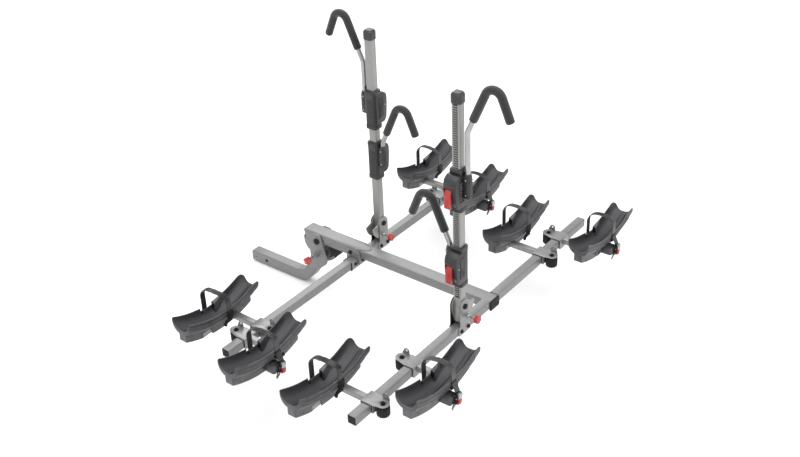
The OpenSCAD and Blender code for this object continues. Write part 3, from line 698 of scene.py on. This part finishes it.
def mast(name, x, y, z, fold):
    here = shift(x, y, z) @ mirror_y(fold)
    body, cad = "mast_" + name, name + "_mast"
    w, d, neck = MAST_W, MAST_D, MAST_H - 40
    column = tube(rrect(w, d, 4.5, 6), rrect(w - 5, d - 5, 2.5, 6), 12, neck, 0.6)
    piece(name + "_mast_tube", [column], body, "mast_metal", cad, here)
    tooth = plate([[(0.6, 0), (0.6, 4.6), (-1.2, 4.2), (-2.1, 1.2), (-1.9, 0.4)]], 16, 0.25)
    teeth = copies(tooth, (along_x(-8, -d / 2, 134 + i * 9) for i in range(88)))
    piece(name + "_mast_teeth", teeth, body, "mast_metal", cad, here)
    # backing strip behind the teeth: a real strip, its black colour paints the shade in the gaps between the
    # teeth
    tooth_backing_shade = prism(rrect(17.6, 1.8, 0.6, 2), 126, 930, 0.3)
    piece(name + "_mast_tooth_backing_shade", moved(tooth_backing_shade, shift(0, -d / 2 - 0.1, 0)), body, "black_plastic", cad, here)
    quadrant = arc(0, PIVOT_H, 30, 25, 205, 16)[:-1] + [(-28, 60), (-14, 14), (14, 14)]
    quadrant += arc(0, PIVOT_H, 70, -62, -4, 14) + [(30, PIVOT_H + 6)]
    quadrant = plate([rounded(quadrant, 2, 2), hole(0, PIVOT_H, 6.1), hole(*MAST_PIN, 5.4)], 2.7, 0.5)
    quadrants = copies(quadrant, (along_x(-18.7, 0, 0), along_x(16.0, 0, 0)))
    piece(name + "_mast_quadrants", quadrants, body, "mast_metal", cad, here)
    rim = rrect(w + 9, d + 9, 13, 8)
    cap = skin(stack(rim, (
        (4.6, 0), (1.0, 0), (0.2, 0.8), (0, 2), (0, 9), (0.9, 10), (0.9, 12.4), (0, 13.4), (0, 30), (0.8, 33),
        (2.6, 35.2), (4.4, 36), (5.0, 38.6), (6.4, 39.8), (9, 40))))
    screw = moved(bolt(3.2, 1.4), across(0, -d / 2 - 4.6, 12))
    piece(name + "_mast_cap", [cap] + screw, body, "cap_plastic", cad, here @ shift(0, 0, neck))


# ---------- sliders, levers, rods and grips ----------

def slider(name, mast_name, base, h, v, grip_z, foot_z):
    x, y, z = MASTS[mast_name][:3]
    here = shift(x, y, z + base)
    body, cad = "slider_" + name, name + "_slider"
    bore = rrect(MAST_W + 0.6, MAST_D + 0.6, 4.5, 6)
    # the teeth and their black backing, which paints the shade between the teeth, need room on the lever side
    bore = [(p, q + (2.4 * v if abs(p) < 9 and q * v > 0 else 0)) for p, q in bore]
    walls = rrect(50, 47, 9, 6)
    rings = stack(walls, ((0.8, 0), (-1.2, 1.2), (-1.4, 6), (-1.4, 17), (0, 19.5), (0, 40), (0, 150),
                          (-1.4, 153), (-1.4, 164), (-1.2, 169.5), (0.8, 172)))
    rings += stack(bore, ((-1.2, 172), (0, 170), (0, 2), (-1.2, 0)))
    cuff = [skin(rings, close=True)]
    # ribs on the two faces away from the rod and the lever
    rib = pad(32, 5.2, 2.2, 1.6, 0.7)
    for i in range(10):
        height = 31 + i * 10.5
        cuff += placed((rib, along_x(-h * 24.6, 0, height, -h)), (rib, across(0, -v * 23.1, height, -v)))
    piece(name + "_cuff", cuff, body, "slider_plastic", cad, here)
    lever_housing(name, v, body, cad, here)
    rod_clip(name, h, v, body, cad, here)
    squeeze_lever(name, v, here)
    hook(name, x, y, z, h, grip_z, foot_z)


def lever_housing(name, v, body, cad, here):
    """Two side cheeks with slanting louvres over thin black sheets that paint the shade in their openings, a
    block beside the lever, and a roof that joins them.
    """
    side = rounded([(-14, 22), (-14, 156), (36, 154), (53, 142), (57, 124), (57, 100), (54, 62), (50, 34),
                    (38, 22)], 3, 3)
    side = prism(mirrored(side, v), 0, 4.2, 1.4)
    housing, louvre_shade = copies(side, (along_x(-26.8, 0, 0), along_x(22.6, 0, 0))), []
    slat = prism([(0, 0.4), (3.6, 0.8), (3.6, 2.0), (0, 5.4)], -12.5, 12.5, 0.3)
    for e in (-1, 1):
        slope = (e, 0, 0), (0, -0.18, 1), (0, 1, 0.18)
        housing += copies(slat, (frame_at((e * 26.5, v * 18, 46 + i * 11), *slope) for i in range(8)))
        # a thin black sheet under the slats: painted shade for the louvre openings
        louvre_shade += moved(pad(29, 88, 4, 0.5, 0.2), along_x(e * 26.7, v * 18, 89, e))
    piece(name + "_slots", louvre_shade, body, "black_plastic", cad, here)
    block = mirrored([(20, 26), (38, 26), (50, 50), (56, 100), (57, 122), (20, 140)], v)
    roof = rounded([(20, 107), (57.5, 107), (58, 123), (52, 143), (35, 155), (20, 155)], 3, 3)
    housing += placed((prism(rounded(block, 5, 3), 0, 15, 1.4), along_x(8.5, 0, 0)),
                      (prism(mirrored(roof, v), 0, 50, 1.4), along_x(-25, 0, 0)))
    piece(name + "_housing", housing, body, "slider_plastic", cad, here)


def rod_clip(name, h, v, body, cad, here):
    """The clip that holds the rod, ribbed outside, and the rivets."""
    half = [(24, -14), (34, -15), (48, -14), (54, -8), (54, 8), (48, 14), (34, 15), (24, 14)]
    clip = [prism(rounded(mirrored(half, h), 3, 3), 62, 150, 2.0)]
    rivets = lathe([(2.5, 0), (3.6, 0.6), (3.6, 1.6), (2.8, 2.2)], 20)
    rivets = moved(rivets, along_x(-h * 26.4, v * 42, 96, -h))
    head = lathe([(3.4, 0), (3.4, 0.8), (2.6, 1.8), (1.2, 2.2)], 20)
    wide, narrow = pad(20, 5.0, 2.0, 1.3, 0.6), pad(17, 5.0, 2.0, 1.3, 0.6)
    clip += copies(wide, (along_x(h * 53.5, 0, 72 + i * 10.5, h) for i in range(7)))
    for e in (-1, 1):
        clip += copies(narrow, (across(h * 39, e * 13.6, 72 + i * 10.5, e) for i in range(7)))
        rivets += copies(head, (across(h * 39, e * 14.6, height, e) for height in (76, 136)))
    clip += moved(lathe([(13.2, 149), (13.2, 156), (12.2, 157.5), (10.2, 158)], 28), shift(h * ROD_X, 0, 0))
    piece(name + "_rod_clip", clip, body, "slider_plastic", cad, here)
    piece(name + "_rivets", rivets, body, "bright_steel", cad, here)


def squeeze_lever(name, v, here):
    body, cad = "lever_" + name, name + "_lever"
    grip = rounded([(36, 88), (46, 72), (50, 44), (53, 30), (60, 26), (66, 33), (66.5, 52), (64, 78),
                    (60, 96), (54, 104), (44, 104), (36, 98)], 4, 4)
    red = moved(prism(mirrored(grip, v), 0, 26, 2.4), along_x(-19, 0, 0))
    ridge = pad(17, 3.0, 1.2, 1.2, 0.5)
    red += copies(ridge, (across(-6, v * 65.6, 38 + i * 6.2, v) for i in range(5)))
    piece(name + "_lever_red", red, body, "red_plastic", cad, here)
    pin = lathe([(2.5, 0), (2.5, 46)], 20)
    piece(name + "_lever_pin", [pin], body, "bright_steel", cad, here @ along_x(-23, v * 40, 96))


def hook(name, x, y, z, h, grip_z, foot_z):
    """A rod that leans out above its clip, and the foam grip that bends over and comes down."""
    body = "slider_" + name
    grip_x, bend = 62.0, 36.0
    lean, tip = math.radians(24), math.radians(157)
    turn_z = grip_z - (grip_x - ROD_X) / math.tan(lean) - bend * math.tan(lean / 2)

    def run(start, angle, distances):
        """Points at these distances from the start, the angle taken from straight up."""
        return [(start[0] + math.sin(angle) * d, start[1] + math.cos(angle) * d) for d in distances]

    def way(points):
        return [(x + h * p, z + q) for p, q in points]

    start = (grip_x, grip_z)
    lower = [(ROD_X, foot_z), (ROD_X, foot_z + 1)] + arc(ROD_X + bend, turn_z, bend, 180, 156, 8)
    lower = way(lower + run(start, lean, (0, 20)))
    rod = sweep_rings(lower, circle(ROD_R, 28), y, lambda i, *_: 1.0 if i else 0.85)
    piece(name + "_rod_bar", [skin(rod)], body, "bright_steel", name + "_rod")

    route = run(start, lean, (0, 0.8, 2.4, 5, 12, 25, 40, 55, 70, 85, 100, 112))
    top_x, top_z = run(start, lean, [124])[0]
    route += arc(top_x + bend * math.cos(lean), top_z - bend * math.sin(lean), bend, 156, 23, 26)
    route += run(route[-1], tip, (8, 20, 34, 48, 62, 74, 82, 86, 88.6, 89.8, 90))
    last = len(route) - 1
    ends = {0: 0.66, 1: 0.86, 2: 0.96, last - 3: 0.94, last - 2: 0.82, last - 1: 0.62, last: 0.42}

    def uneven(i, u, w):
        """Closed cell foam is round with small hollows, and rounded off at both ends."""
        return ends.get(i, 1.0) * (1 + 0.012 * noise(Vector((u * 0.07, w * 0.07, i * 0.31 + grip_z * 0.13))))

    foam = skin(sweep_rings(way(route), circle(GRIP_R, 36), y, uneven))
    piece(name + "_grip_foam", [foam], body, "foam_grip", name + "_grip", sharp=60)


# ---------- trays, straps and carriages ----------

OUTER_ARC, INNER_ARC, RIM_ARC, KEEL_ARC = 485.0, 367.0, 410.0, 450.0
# height of the rim at the middle, distance between stations, half the outer floor and its corner
RIM_Z, STATION, FLAT, CORNER = 55, 6.0, 7.5, 39.5


def rise(y, radius):
    """How far an arc of this radius has climbed at y."""
    return radius - math.sqrt(radius * radius - y * y)


def rim_height(y, notched):
    """Height of a wall's edge: a long arc, rounded down at both ends, and cut away at the notch."""
    z = RIM_Z + rise(y, RIM_ARC)
    # where each rounded end starts, how long it is and how far it drops
    for past, length, drop in ((y - 158, 34.0, 25), (-182 - y, 10.0, 11)):
        z -= drop * (1 - math.sqrt(max(0.0, 1 - (max(0.0, past) / length) ** 2)))
    start, end, floor_z = -50.4, 12.4, 40
    if notched and start < y < end:
        lead = min(y - start, end - y)
        z = floor_z + (z - floor_z) * max(0.0, 1 - lead / 0.6, 0.16 * (1 - lead / 5.0))
    return z


def trough_point(y, turn, radius, low, flat, corner):
    """A point of the trough's skin, turn degrees round its corner: x and z at station y."""
    a = math.radians(turn)
    deep = radius - corner * (1 - math.cos(a))
    return flat + corner * math.sin(a), low + radius - math.sqrt(deep * deep - y * y)


def wall_points(y, top, radius, low, flat, corner, turns):
    """Half a section from the middle outwards, held below the rim."""
    limit = 90.0
    if trough_point(y, 90, radius, low, flat, corner)[1] > top:
        deep = math.sqrt((low + radius - top) ** 2 + y * y)
        limit = math.degrees(math.acos(max(-1.0, min(1.0, 1 - (radius - deep) / corner))))
    points = [(0.0, low + rise(y, radius)), (flat * 0.6, low + rise(y, radius))]
    points += [trough_point(y, min(t, limit), radius, low, flat, corner) for t in turns]
    x, z = points[-1]
    return points + [(x, z + (top - z) * k / 3) for k in (1, 2, 3)]


# depth of the two grooves beside the wheel's path, by corner angle
GROOVES = {15: 1.4, 17: 4.2, 22: 4.2, 24: 1.4}


def tray_section(y, shrink, notch_side):
    """One ring of the trough: along its outer skin from rim to rim, and back along the inner skin."""
    turns = [0, 7, 14, 15, 17, 22, 24, 25, 34, 43, 52, 61, 70, 80, 90]
    half_w, fade = TRAY_W / 2, min(1.0, (TRAY_L / 2 - abs(y)) / 14.0)
    outer, inner = {}, {}
    for e in (-1, 1):
        notched, slim = e == notch_side, 1.0
        top = rim_height(y, notched) - shrink * 0.7
        if notched:
            # this wall ends in a corner that is rounded in plan as well
            turned = max(0.0, y - 164) / 28.0
            slim -= 10.0 / half_w * (1 - math.sqrt(max(0.0, 1 - turned * turned)))
        k = (1 - shrink / half_w) * slim
        out = [(x * k, z + shrink * 0.8)
               for x, z in wall_points(y, top - 0.9, OUTER_ARC, -2.0, FLAT, CORNER, turns)]
        inn = [(x * slim, z) for x, z in wall_points(y, top - 0.9, INNER_ARC, 4.0, 7.0, 36.8, turns)]
        inn[0] = (0.0, inn[0][1] - 3.2 * fade)
        inn[1] = (1.6, inn[1][1]) if notched else (inn[1][0], inn[1][1] - 4.0 * fade)
        # long grooves pressed into the wheel's path
        for i, turn in enumerate(turns, 2):
            x, z = inn[i]
            if turn in GROOVES and not notched and z < top - 6:
                a, deep = math.radians(turn), GROOVES[turn] * fade
                inn[i] = (x + deep * math.sin(a), z - deep * math.cos(a))
        inn = [(x, min(z - shrink * 0.5, top - 0.9)) for x, z in inn]
        lip = min(0.9, (out[-1][0] - inn[-1][0]) * 0.3)
        out.append((out[-1][0] - lip, top))
        inn.append((inn[-1][0] + lip, top))
        outer[e] = [(e * x, y, z) for x, z in out]
        inner[e] = [(e * x, y, z) for x, z in inn]
    return outer[-1][::-1] + outer[1][1:] + inner[1][::-1] + inner[-1][1:]


def tray_stations():
    """Each station's y and how far its ring shrinks, closer together at the notch and the ends."""
    ys = {k * STATION: 0.0 for k in range(-31, 32)}
    ys.update({y: 0.0 for y in (-50.4, -49.8, -48.6, -46.8, -44.5, 12.4, 11.8, 10.6, 8.8, 6.5, 184)})
    for y in (-189.5, -187.5, 187.5, 189.5):
        ys[y] = 0.0
    for inwards, shrink in ((0, 1.8), (0.5, 0.8), (1.6, 0.2), (3, 0.0)):
        ys[TRAY_L / 2 - inwards] = ys[inwards - TRAY_L / 2] = shrink
    return sorted(ys.items())


def outer_x(y, z):
    """Where the trough's outer skin is at this height."""
    round_in = OUTER_ARC - math.sqrt((OUTER_ARC - 2 - z) ** 2 + y * y)
    return FLAT + CORNER * math.sqrt(max(0.0, 1 - (1 - min(1, round_in / CORNER)) ** 2))


def tray_shell(s):
    """The trough, two long ribs on each wall, and a rolled edge along the rims."""
    rings = [tray_section(y, shrink, -s) for y, shrink in tray_stations()]
    verts, faces = skin(rings, caps=False)
    count = len(rings[0])
    last = (len(rings) - 1) * count
    # end faces run as strips between the outer and the inner skin
    for a in range((count + 1) // 2 - 1):
        b = count - 1 - a
        faces += [(a, b, b - 1, a + 1), (last + a, last + a + 1, last + b - 1, last + b)]
    shell = [(verts, faces)]
    for e in (-1, 1):
        for drop in (17, 32):
            shell.append(skin([tray_rib(k * STATION, e, drop, 0.2 if k in (-31, 27) else 1.0)
                               for k in range(-31, 28)]))
        for first, end in (((-30, -10), (4, 25)) if e == -s else ((-30, 27),)):
            edge = []
            for k in range(first, end + 1):
                g = 0.3 if k in (first, end) else 1.0
                z = rim_height(k * STATION, False) - 2.2
                edge.append([(e * (46.6 + p * g), k * STATION, z + q * g) for p, q in
                             ((-0.6, -2.2), (1.3, -1.6), (1.8, 0), (1.2, 1.5), (-0.6, 2.0))])
            shell.append(skin(edge))
    return shell


def tray_rib(y, e, drop, g):
    """One ring of a rib on the e wall, this far under the rim, g times its full size."""
    z = RIM_Z + rise(y, RIM_ARC) - drop
    x = outer_x(y, z)
    low, high = outer_x(y, z - 3) - 0.4, outer_x(y, z + 3) - 0.4
    return [(e * p, y, z + q * g) for p, q in
            ((low, -3.0), (x + 1.9 * g, -1.8), (x + 1.9 * g, 1.6), (high, 3.0), (x - 2.0, 0))]


def tray_keel():
    """A box with rounded corners, open below, its foot on a long arc, and a block under the buckle."""
    side = sorted([155 - 10 * k for k in range(35)] + [-56.8, -57.2, -104.8, -105.2])
    plan = []
    for cx, cy, start, r in ((12, 162, 0, 6), (-12, 162, 90, 6), (-16, -189, 180, 2), (16, -189, 270, 2)):
        corner = arc(cx, cy, r, start, start + 90, 4)
        plan += [(px, py, start + 22.5 * k) for k, (px, py) in enumerate(corner)]
        if start == 90:
            plan += [(-18, y, 180) for y in reversed(side)]
    plan += [(18, y, 0) for y in side]
    loop = []
    for px, py, facing in plan:
        dx, dy = math.cos(math.radians(facing)), math.sin(math.radians(facing))
        # the foot is cut away where the rail shows
        foot = -4.0 if px < -17 and -105 < py < -57 else -37 + rise(py, KEEL_ARC)
        roof = -0.5 + rise(py, OUTER_ARC)
        ix, iy = px - 3.2 * dx, py - 3.2 * dy
        loop.append([(px, py, roof), (px, py, foot + 1.6), (px - 0.9 * dx, py - 0.9 * dy, foot),
                     (ix, iy, foot), (ix, iy, roof)])
    keel = [skin(loop, close=True)]
    rivet = lathe([(3.2, 0), (3.2, 0.6), (2.2, 1.5), (0.8, 1.8)], 16)
    for e in (-1, 1):
        keel += copies(rivet, (along_x(e * 17.8, y, z, e) for y, z in ((-150, 0), (60, -18), (120, 0))))
    block = rounded([(14, -27), (60, -27), (66, -21), (66, 9), (60, 15), (14, 15)], 3, 3)
    return keel + [prism(block, -32, 3, 2.0)] + moved(pad(26, 18, 3, 1.4, 0.6), along_x(65.6, -6, -15))


def strap_roots(s):
    """Dark fittings on the walls: a thin black arch at the notch that paints the shade in its pocket, cleats,
    and the ratchet end of the band.
    """
    far = -s
    # thin black arch inside the notch: painted shade for the hollow behind the strap
    pocket_shade = [(-13, 14), (13, 14)] + arc(0, 40, 13, 0, 180, 12)
    pocket_shade = [(x * 0.55, z * 0.7 + 8) for x, z in pocket_shade]
    cleat = rounded([(6, 14), (34, 14), (38, 22), (36, 44), (30, 50), (10, 50), (4, 42), (2, 22)], 4, 3)
    dark = placed((prism(pocket_shade, 0, 1.6, 0.4), across(far * 38.5, 13.2, 8)),
                  (pad(36, 15, 5, 6, 1.6), along_x(far * 44.5, -26, 31, far)),
                  (pad(12, 11, 4, 9, 1.6), along_x(far * 41, -44, 36, far)),
                  (prism(cleat, 0, 7, 1.6), along_x(-far * 44.5, 0, 0, -far)))
    if s < 0:
        for y, z, w, t in ((20, 16, 20, 15), (2, 6, 24, 13), (-12, -3, 12, 16)):
            m = frame_at((-45.0, y, z), (0, 1, 0.2), (0, -0.2, 1), (-1, 0, 0))
            dark += moved(pad(w, t, 4, 9, 1.8), m)
        dark += moved(lathe([(3, 0), (4, 1), (4, 27), (3, 28)], 18), along_y(-55, -8, 8))
    return dark


def shoulder(s):
    """A thickening of the notched wall beside the notch."""
    far, rings = -s, []
    for y, thick, lead in ((12, 13, 5), (12.6, 14.4, 2), (14, 15, 0.8), (17, 15, 0), (30, 13, 0), (45, 9, 0),
                           (62, 3, 1)):
        crown = RIM_Z - 0.5 + rise(y, RIM_ARC) - lead
        rings.append([(far * x, y, z) for x, z in (
            (46, crown), (46.5 - thick, crown - 1.0), (44 - thick, crown - 7), (42 - thick, 12), (40, 10))])
    return [skin(rings)]


def tray(i):
    x, top, s, _, y = CARRIERS[i - 1]
    here = shift(x + s * REACH, y, top) @ mirror_x(s)
    name = "tray_%d" % i
    body = "carrier_%d" % i
    piece(name + "_shell", tray_shell(s), body, "tray_plastic", name, here, 40)
    piece(name + "_keel", tray_keel(), body, "tray_plastic", name, here, 35)
    # light inner rail that shows through the keel's gap
    rail = prism(rrect(8, 56, 1.5), -27, -5, 0.6)
    piece(name + "_rail", [rail], body, "carriage_metal", name, here @ shift(-10.5, -81, 0))
    piece(name + "_shoulder", shoulder(s), body, "tray_plastic", name, here, 50)
    piece(name + "_strap_roots", strap_roots(s), body, "black_plastic", name, here)


# how far the band has slid towards +Y, by its place from the world -X foot to the +X foot
LEANS = [(0.0, -23), (0.25, -24), (0.5, -25), (0.62, -17), (0.74, -3), (0.85, 12), (1.0, 21)]


def lean_at(place):
    for (a, p), (b, q) in zip(LEANS, LEANS[1:]):
        if place <= b:
            return p + (q - p) * max(0.0, place - a) / (b - a)
    return LEANS[-1][1]


def strap_band(s, base):
    """The ladder strap over the wheel, its rungs, and the tail that hangs from the buckle."""
    r, w = TRAY_W / 2 + 3.2, STRAP_W / 2
    route = [(-r, 26 + k * 9.5) for k in range(8)] + arc(0, 102, r, 180, 0, 60)
    route += [(r, 102 - k * 9.2) for k in range(1, 7)]
    whole = len(route) - 1
    route += [(r + 0.6, 42), (r + 3, 36), (r + 9, 26), (66.5, 12), (69, 6), (70, -2), (70, -18)]
    rings, centres = [], []
    for k, (px, pz) in enumerate(route):
        t, f = direction(route, k), min(1.0, k / whole)
        lean = lean_at(f if s > 0 else 1 - f) - 0.9 * max(0, k - whole)
        centres.append((px, lean, pz, t))
        rings.append([(px - t.y * d, lean + v, pz + t.x * d) for d, v in
                      ((-2.8, -w + 0.6), (-2.8, w - 0.6), (-2.2, w), (-0.5, w), (0, w - 0.6), (0, -w + 0.6),
                       (-0.5, -w), (-2.2, -w))])
    band = [skin(rings)]
    rung = skin([[(-p, -q, z), (p, -q, z), (p, q, z), (-p, q, z)] for p, q, z in
                 ((8.6, 0.75, 0), (8.2, 0.35, 1.2))])
    for k in range(8, whole - 3):
        px, lean, pz, t = centres[k]
        slope = (centres[k + 1][1] - centres[k - 1][1]) / 2 / 2.7
        at_rung = (px + t.y * 0.3, lean, pz - t.x * 0.3)
        band += moved(rung, frame_at(at_rung, (0, 1, 0), (t.x, slope * 0.5, t.y), (-t.y, 0, t.x)))
    tail = []
    for k in range(12):
        f = k / 11
        half = 10.5 - max(0, k - 8) * 2.6
        x, y, z = 68.5 - 5.5 * f, base - 8 - 18 * f, -14 - 44 * f
        tail.append([(x, y - half, z), (x, y + half, z), (x + 2.4, y + half, z), (x + 2.4, y - half, z)])
    return band + [skin(tail)]


def strap(i):
    x, top, s, _, y = CARRIERS[i - 1]
    here = shift(x + s * REACH, y, top) @ mirror_x(s)
    name = "strap_%d" % i
    body = "carrier_%d" % i
    base = 14.0 if s > 0 else -20.0
    piece(name + "_band", strap_band(s, base), body, "strap_plastic", name, here)

    # ratchet buckle, tilted with the band: its own z runs up the band and x outwards
    up = Vector((0, 0.34, 0.94)).normalized()
    buckle = here @ frame_at((70, base - 6, -14), (1, 0, 0), up.cross(Vector((1, 0, 0))), up)
    lever = rounded([(4, 20), (9, 24), (12.5, 20), (13, 6), (11, -2), (9.4, 6), (9, 18)], 1.5, 3)
    bright = moved(prism(lever, 0, 21, 0.9), across(0, 10.5, 0))
    for px, pz, r, half in ((5.2, 17, 6.0, 12), (4.6, -20, 3.2, 15), (5.0, 2, 2.4, 14.6)):
        bar = lathe([(r - 1, 0), (r, 0.8), (r, 2 * half - 0.8), (r - 1, 2 * half)], 18)
        bright += moved(bar, along_y(px, -half, pz))
    piece(name + "_buckle", bright, body, "bright_steel", name, buckle)
    tongue = rounded([(5, -2), (4, -16), (7, -23), (12, -22), (13.6, -12), (13, -1), (9, 2)], 2.5, 4)
    red = moved(prism(tongue, 0, 19, 1.6), across(0, 17, 0))
    red += copies(pad(14, 2.2, 1.0, 1.0, 0.4), (along_x(12.9, 7.5, -17 + k * 4.4) for k in range(3)))
    piece(name + "_release", red, body, "red_plastic", name, buckle)
    cheek = rounded([(-1, -24), (5, -26), (10, -18), (10.5, 8), (8, 22), (2, 26), (-1, 24)], 3, 3)
    cheek = prism(cheek, 0, 1.8, 0.4)
    seat = placed((cheek, across(0, -12.1, 0)), (cheek, across(0, 13.9, 0)),
                  (pad(27, 50, 4, 2.6, 0.9), along_x(-3.4, 0, 0)),
                  (tube(rrect(30, 15, 5), rrect(24, 9, 3), 0, 7, 0.9),
                   frame_at((-4, -9, 10), (0, 1, 0), (1, 0, 0), (0, 0, 1))))
    piece(name + "_base", seat, body, "black_plastic", name, buckle)


def carriage(i):
    x, top, s, y, _ = CARRIERS[i - 1]
    here = shift(x, y, top) @ mirror_x(s)
    body, cad = "carrier_%d" % i, "carriage_%d" % i
    # x of the clamp bolt
    bolt_x = -51

    # pressed plate, flat over the arm, with a dished round pan and a raised bead about the bolt
    outline = [(25, -32), (25, 32), (-24, 32)] + arc(bolt_x, 0, 25, 84, 276, 16) + [(-24, -32)]
    pan = moved(plate([rounded(outline, 3.5, 3), hole(bolt_x, 0, 15, 40)], 3.5, 0.9), shift(0, 0, 1.2))
    pan.append(skin([at_z(hole(bolt_x, 0, r, 40), z) for r, z in (
        (15.6, 4.6), (14.4, 3.6), (13.2, 1.6), (9.0, 1.3), (4.4, 1.3), (4.4, -0.6), (9.0, -0.7), (13.6, -0.6),
        (15.2, 1.4), (15.8, 2.6))], close=True))
    pan.append(bead(at_z(arc(bolt_x, 0, 20.5, 60, 300, 40), 4.7), 1.1))
    # folded side plates, and an upturned ear with a hole
    for side_x, half, low, high in ((21.2, 32, -41, 3), (-25.2, 26, -40, -4)):
        side = rounded([(-half, low), (half, low), (half, high), (-half, high)], 4, 3)
        pan += moved(plate([side], 3.8, 0.8), along_x(side_x, 0, 0))
    ear = rounded([(-64, 1.2), (-34, 1.2), (-34, 19)] + arc(-46, 19.5, 12, 10, 180, 12) + [(-64, 12)], 3, 2)
    pan += moved(plate([mirrored(ear), hole(-46, 21, 4.2)], 3.5, 0.7), across(0, 25, 0))
    piece(cad + "_plate", pan, body, "carriage_metal", cad, here)
    strut = square_tube(REACH + 3, 25.4, 3.4, 2)
    piece(cad + "_strut", [strut], body, "carriage_metal", cad, here @ along_x(25, 0, -9.7))
    liner = placed((pad(42.2, 66.8, 2, 0.9, 0.3), shift(0, 0, 0.2)), (nut(8, 6.4, 4), shift(bolt_x, 0, 1.4)),
                   (pad(66.8, 38, 2, 1.5, 0.4), along_x(19.6, 0, -19)),
                   (pad(54.8, 38, 2, 1.5, 0.4), along_x(-21.1, 0, -19)),
                   (lathe([(4, -46), (4, 4)], 20), shift(bolt_x, 0, 0)))
    piece(cad + "_liner", liner, body, "black_plastic", cad, here)

    # fluted clamp knob
    points, flutes, r = 108, 9, 23.0
    rim = []
    for k in range(points):
        a = 2 * math.pi * k / points
        reach = r + 2 * abs(math.cos(flutes * a)) ** 0.7
        rim.append((reach * math.cos(a), reach * math.sin(a)))
    grip = skin(stack(rim, ((12, -7.6), (5.2, -8), (3.4, -7.2), (3.0, -4.6), (0.8, -3.6), (0, -2), (0, 32),
                            (0.8, 34.4), (2.6, 35.8), (6, 36), (12, 35.6))))
    below = here @ shift(bolt_x, 0, -40)
    piece("clamp_%d_knob" % i, [grip], "clamp_%d" % i, "black_plastic", "knob_%d" % i, below)


# ---------- build ----------
hitch()
tilt_pin()
sleeve()
rack_frame()
caps()
saddle()
for mast_name, (mx, my, mz, fold) in MASTS.items():
    mast_foot(mast_name, mx, my, mz, fold)
    mast(mast_name, mx, my, mz, fold)
for slider_name, values in SLIDERS.items():
    slider(slider_name, *values)
for number in range(1, 9):
    carriage(number)
    tray(number)
    strap(number)


# ---------- stage, light and camera ----------

def floor():
    low = cad_box[0].z - 0.004
    mesh = bpy.data.meshes.new("floor")
    mesh.from_pydata([(-40, -40, low), (40, -40, low), (40, 40, low), (-40, 40, low)], [], [(0, 1, 2, 3)])
    m = bpy.data.materials.new("floor")
    m.use_nodes = True
    shade = m.node_tree.nodes["Principled BSDF"]
    shade.inputs["Base Color"].default_value = (0.9, 0.9, 0.9, 1)
    shade.inputs["Roughness"].default_value = 0.7
    mesh.materials.append(m)
    linked("floor", mesh)


def light(name, place, size, power):
    """A square light aimed at the middle of the rack."""
    data = bpy.data.lights.new(name, "AREA")
    data.shape, data.size, data.energy = "SQUARE", size, power
    obj = linked(name, data)
    obj.location = place
    obj.rotation_mode = "QUATERNION"
    obj.rotation_quaternion = (Vector((0.8, 0, 0.4)) - Vector(place)).to_track_quat("-Z", "Y")


def camera(azimuth, elevation, roll, place, lens):
    a, e, r = (math.radians(v) for v in (azimuth, elevation, roll))
    back = Vector((math.sin(a) * math.cos(e), -math.cos(a) * math.cos(e), math.sin(e)))
    right = Vector((math.cos(a), math.sin(a), 0))
    up = back.cross(right)
    data = bpy.data.cameras.new("camera")
    data.lens, data.sensor_width = lens, 36
    obj = linked("camera", data)
    rolled_right = right * math.cos(r) - up * math.sin(r)
    rolled_up = right * math.sin(r) + up * math.cos(r)
    obj.matrix_world = frame_at(place, rolled_right, rolled_up, back)
    bpy.context.scene.camera = obj


floor()
light("key", (4.4, 0.4, 3.8), 2.6, 78)
light("fill", (0.6, -4.4, 3.4), 3.2, 30)
light("top", (0.7, -0.4, 5.2), 4.0, 120)
light("rim", (-2.2, 2.8, 3.4), 2.4, 60)
world = bpy.data.worlds.new("world")
world.use_nodes = True
world.node_tree.nodes["Background"].inputs[0].default_value = (1, 1, 1, 1)
world.node_tree.nodes["Background"].inputs[1].default_value = 1.0
bpy.context.scene.world = world
bpy.context.scene.view_settings.view_transform = "Standard"
camera(38.572, 31.949, 2.384, (3.2383, -3.0909, 2.8989), 51.546)
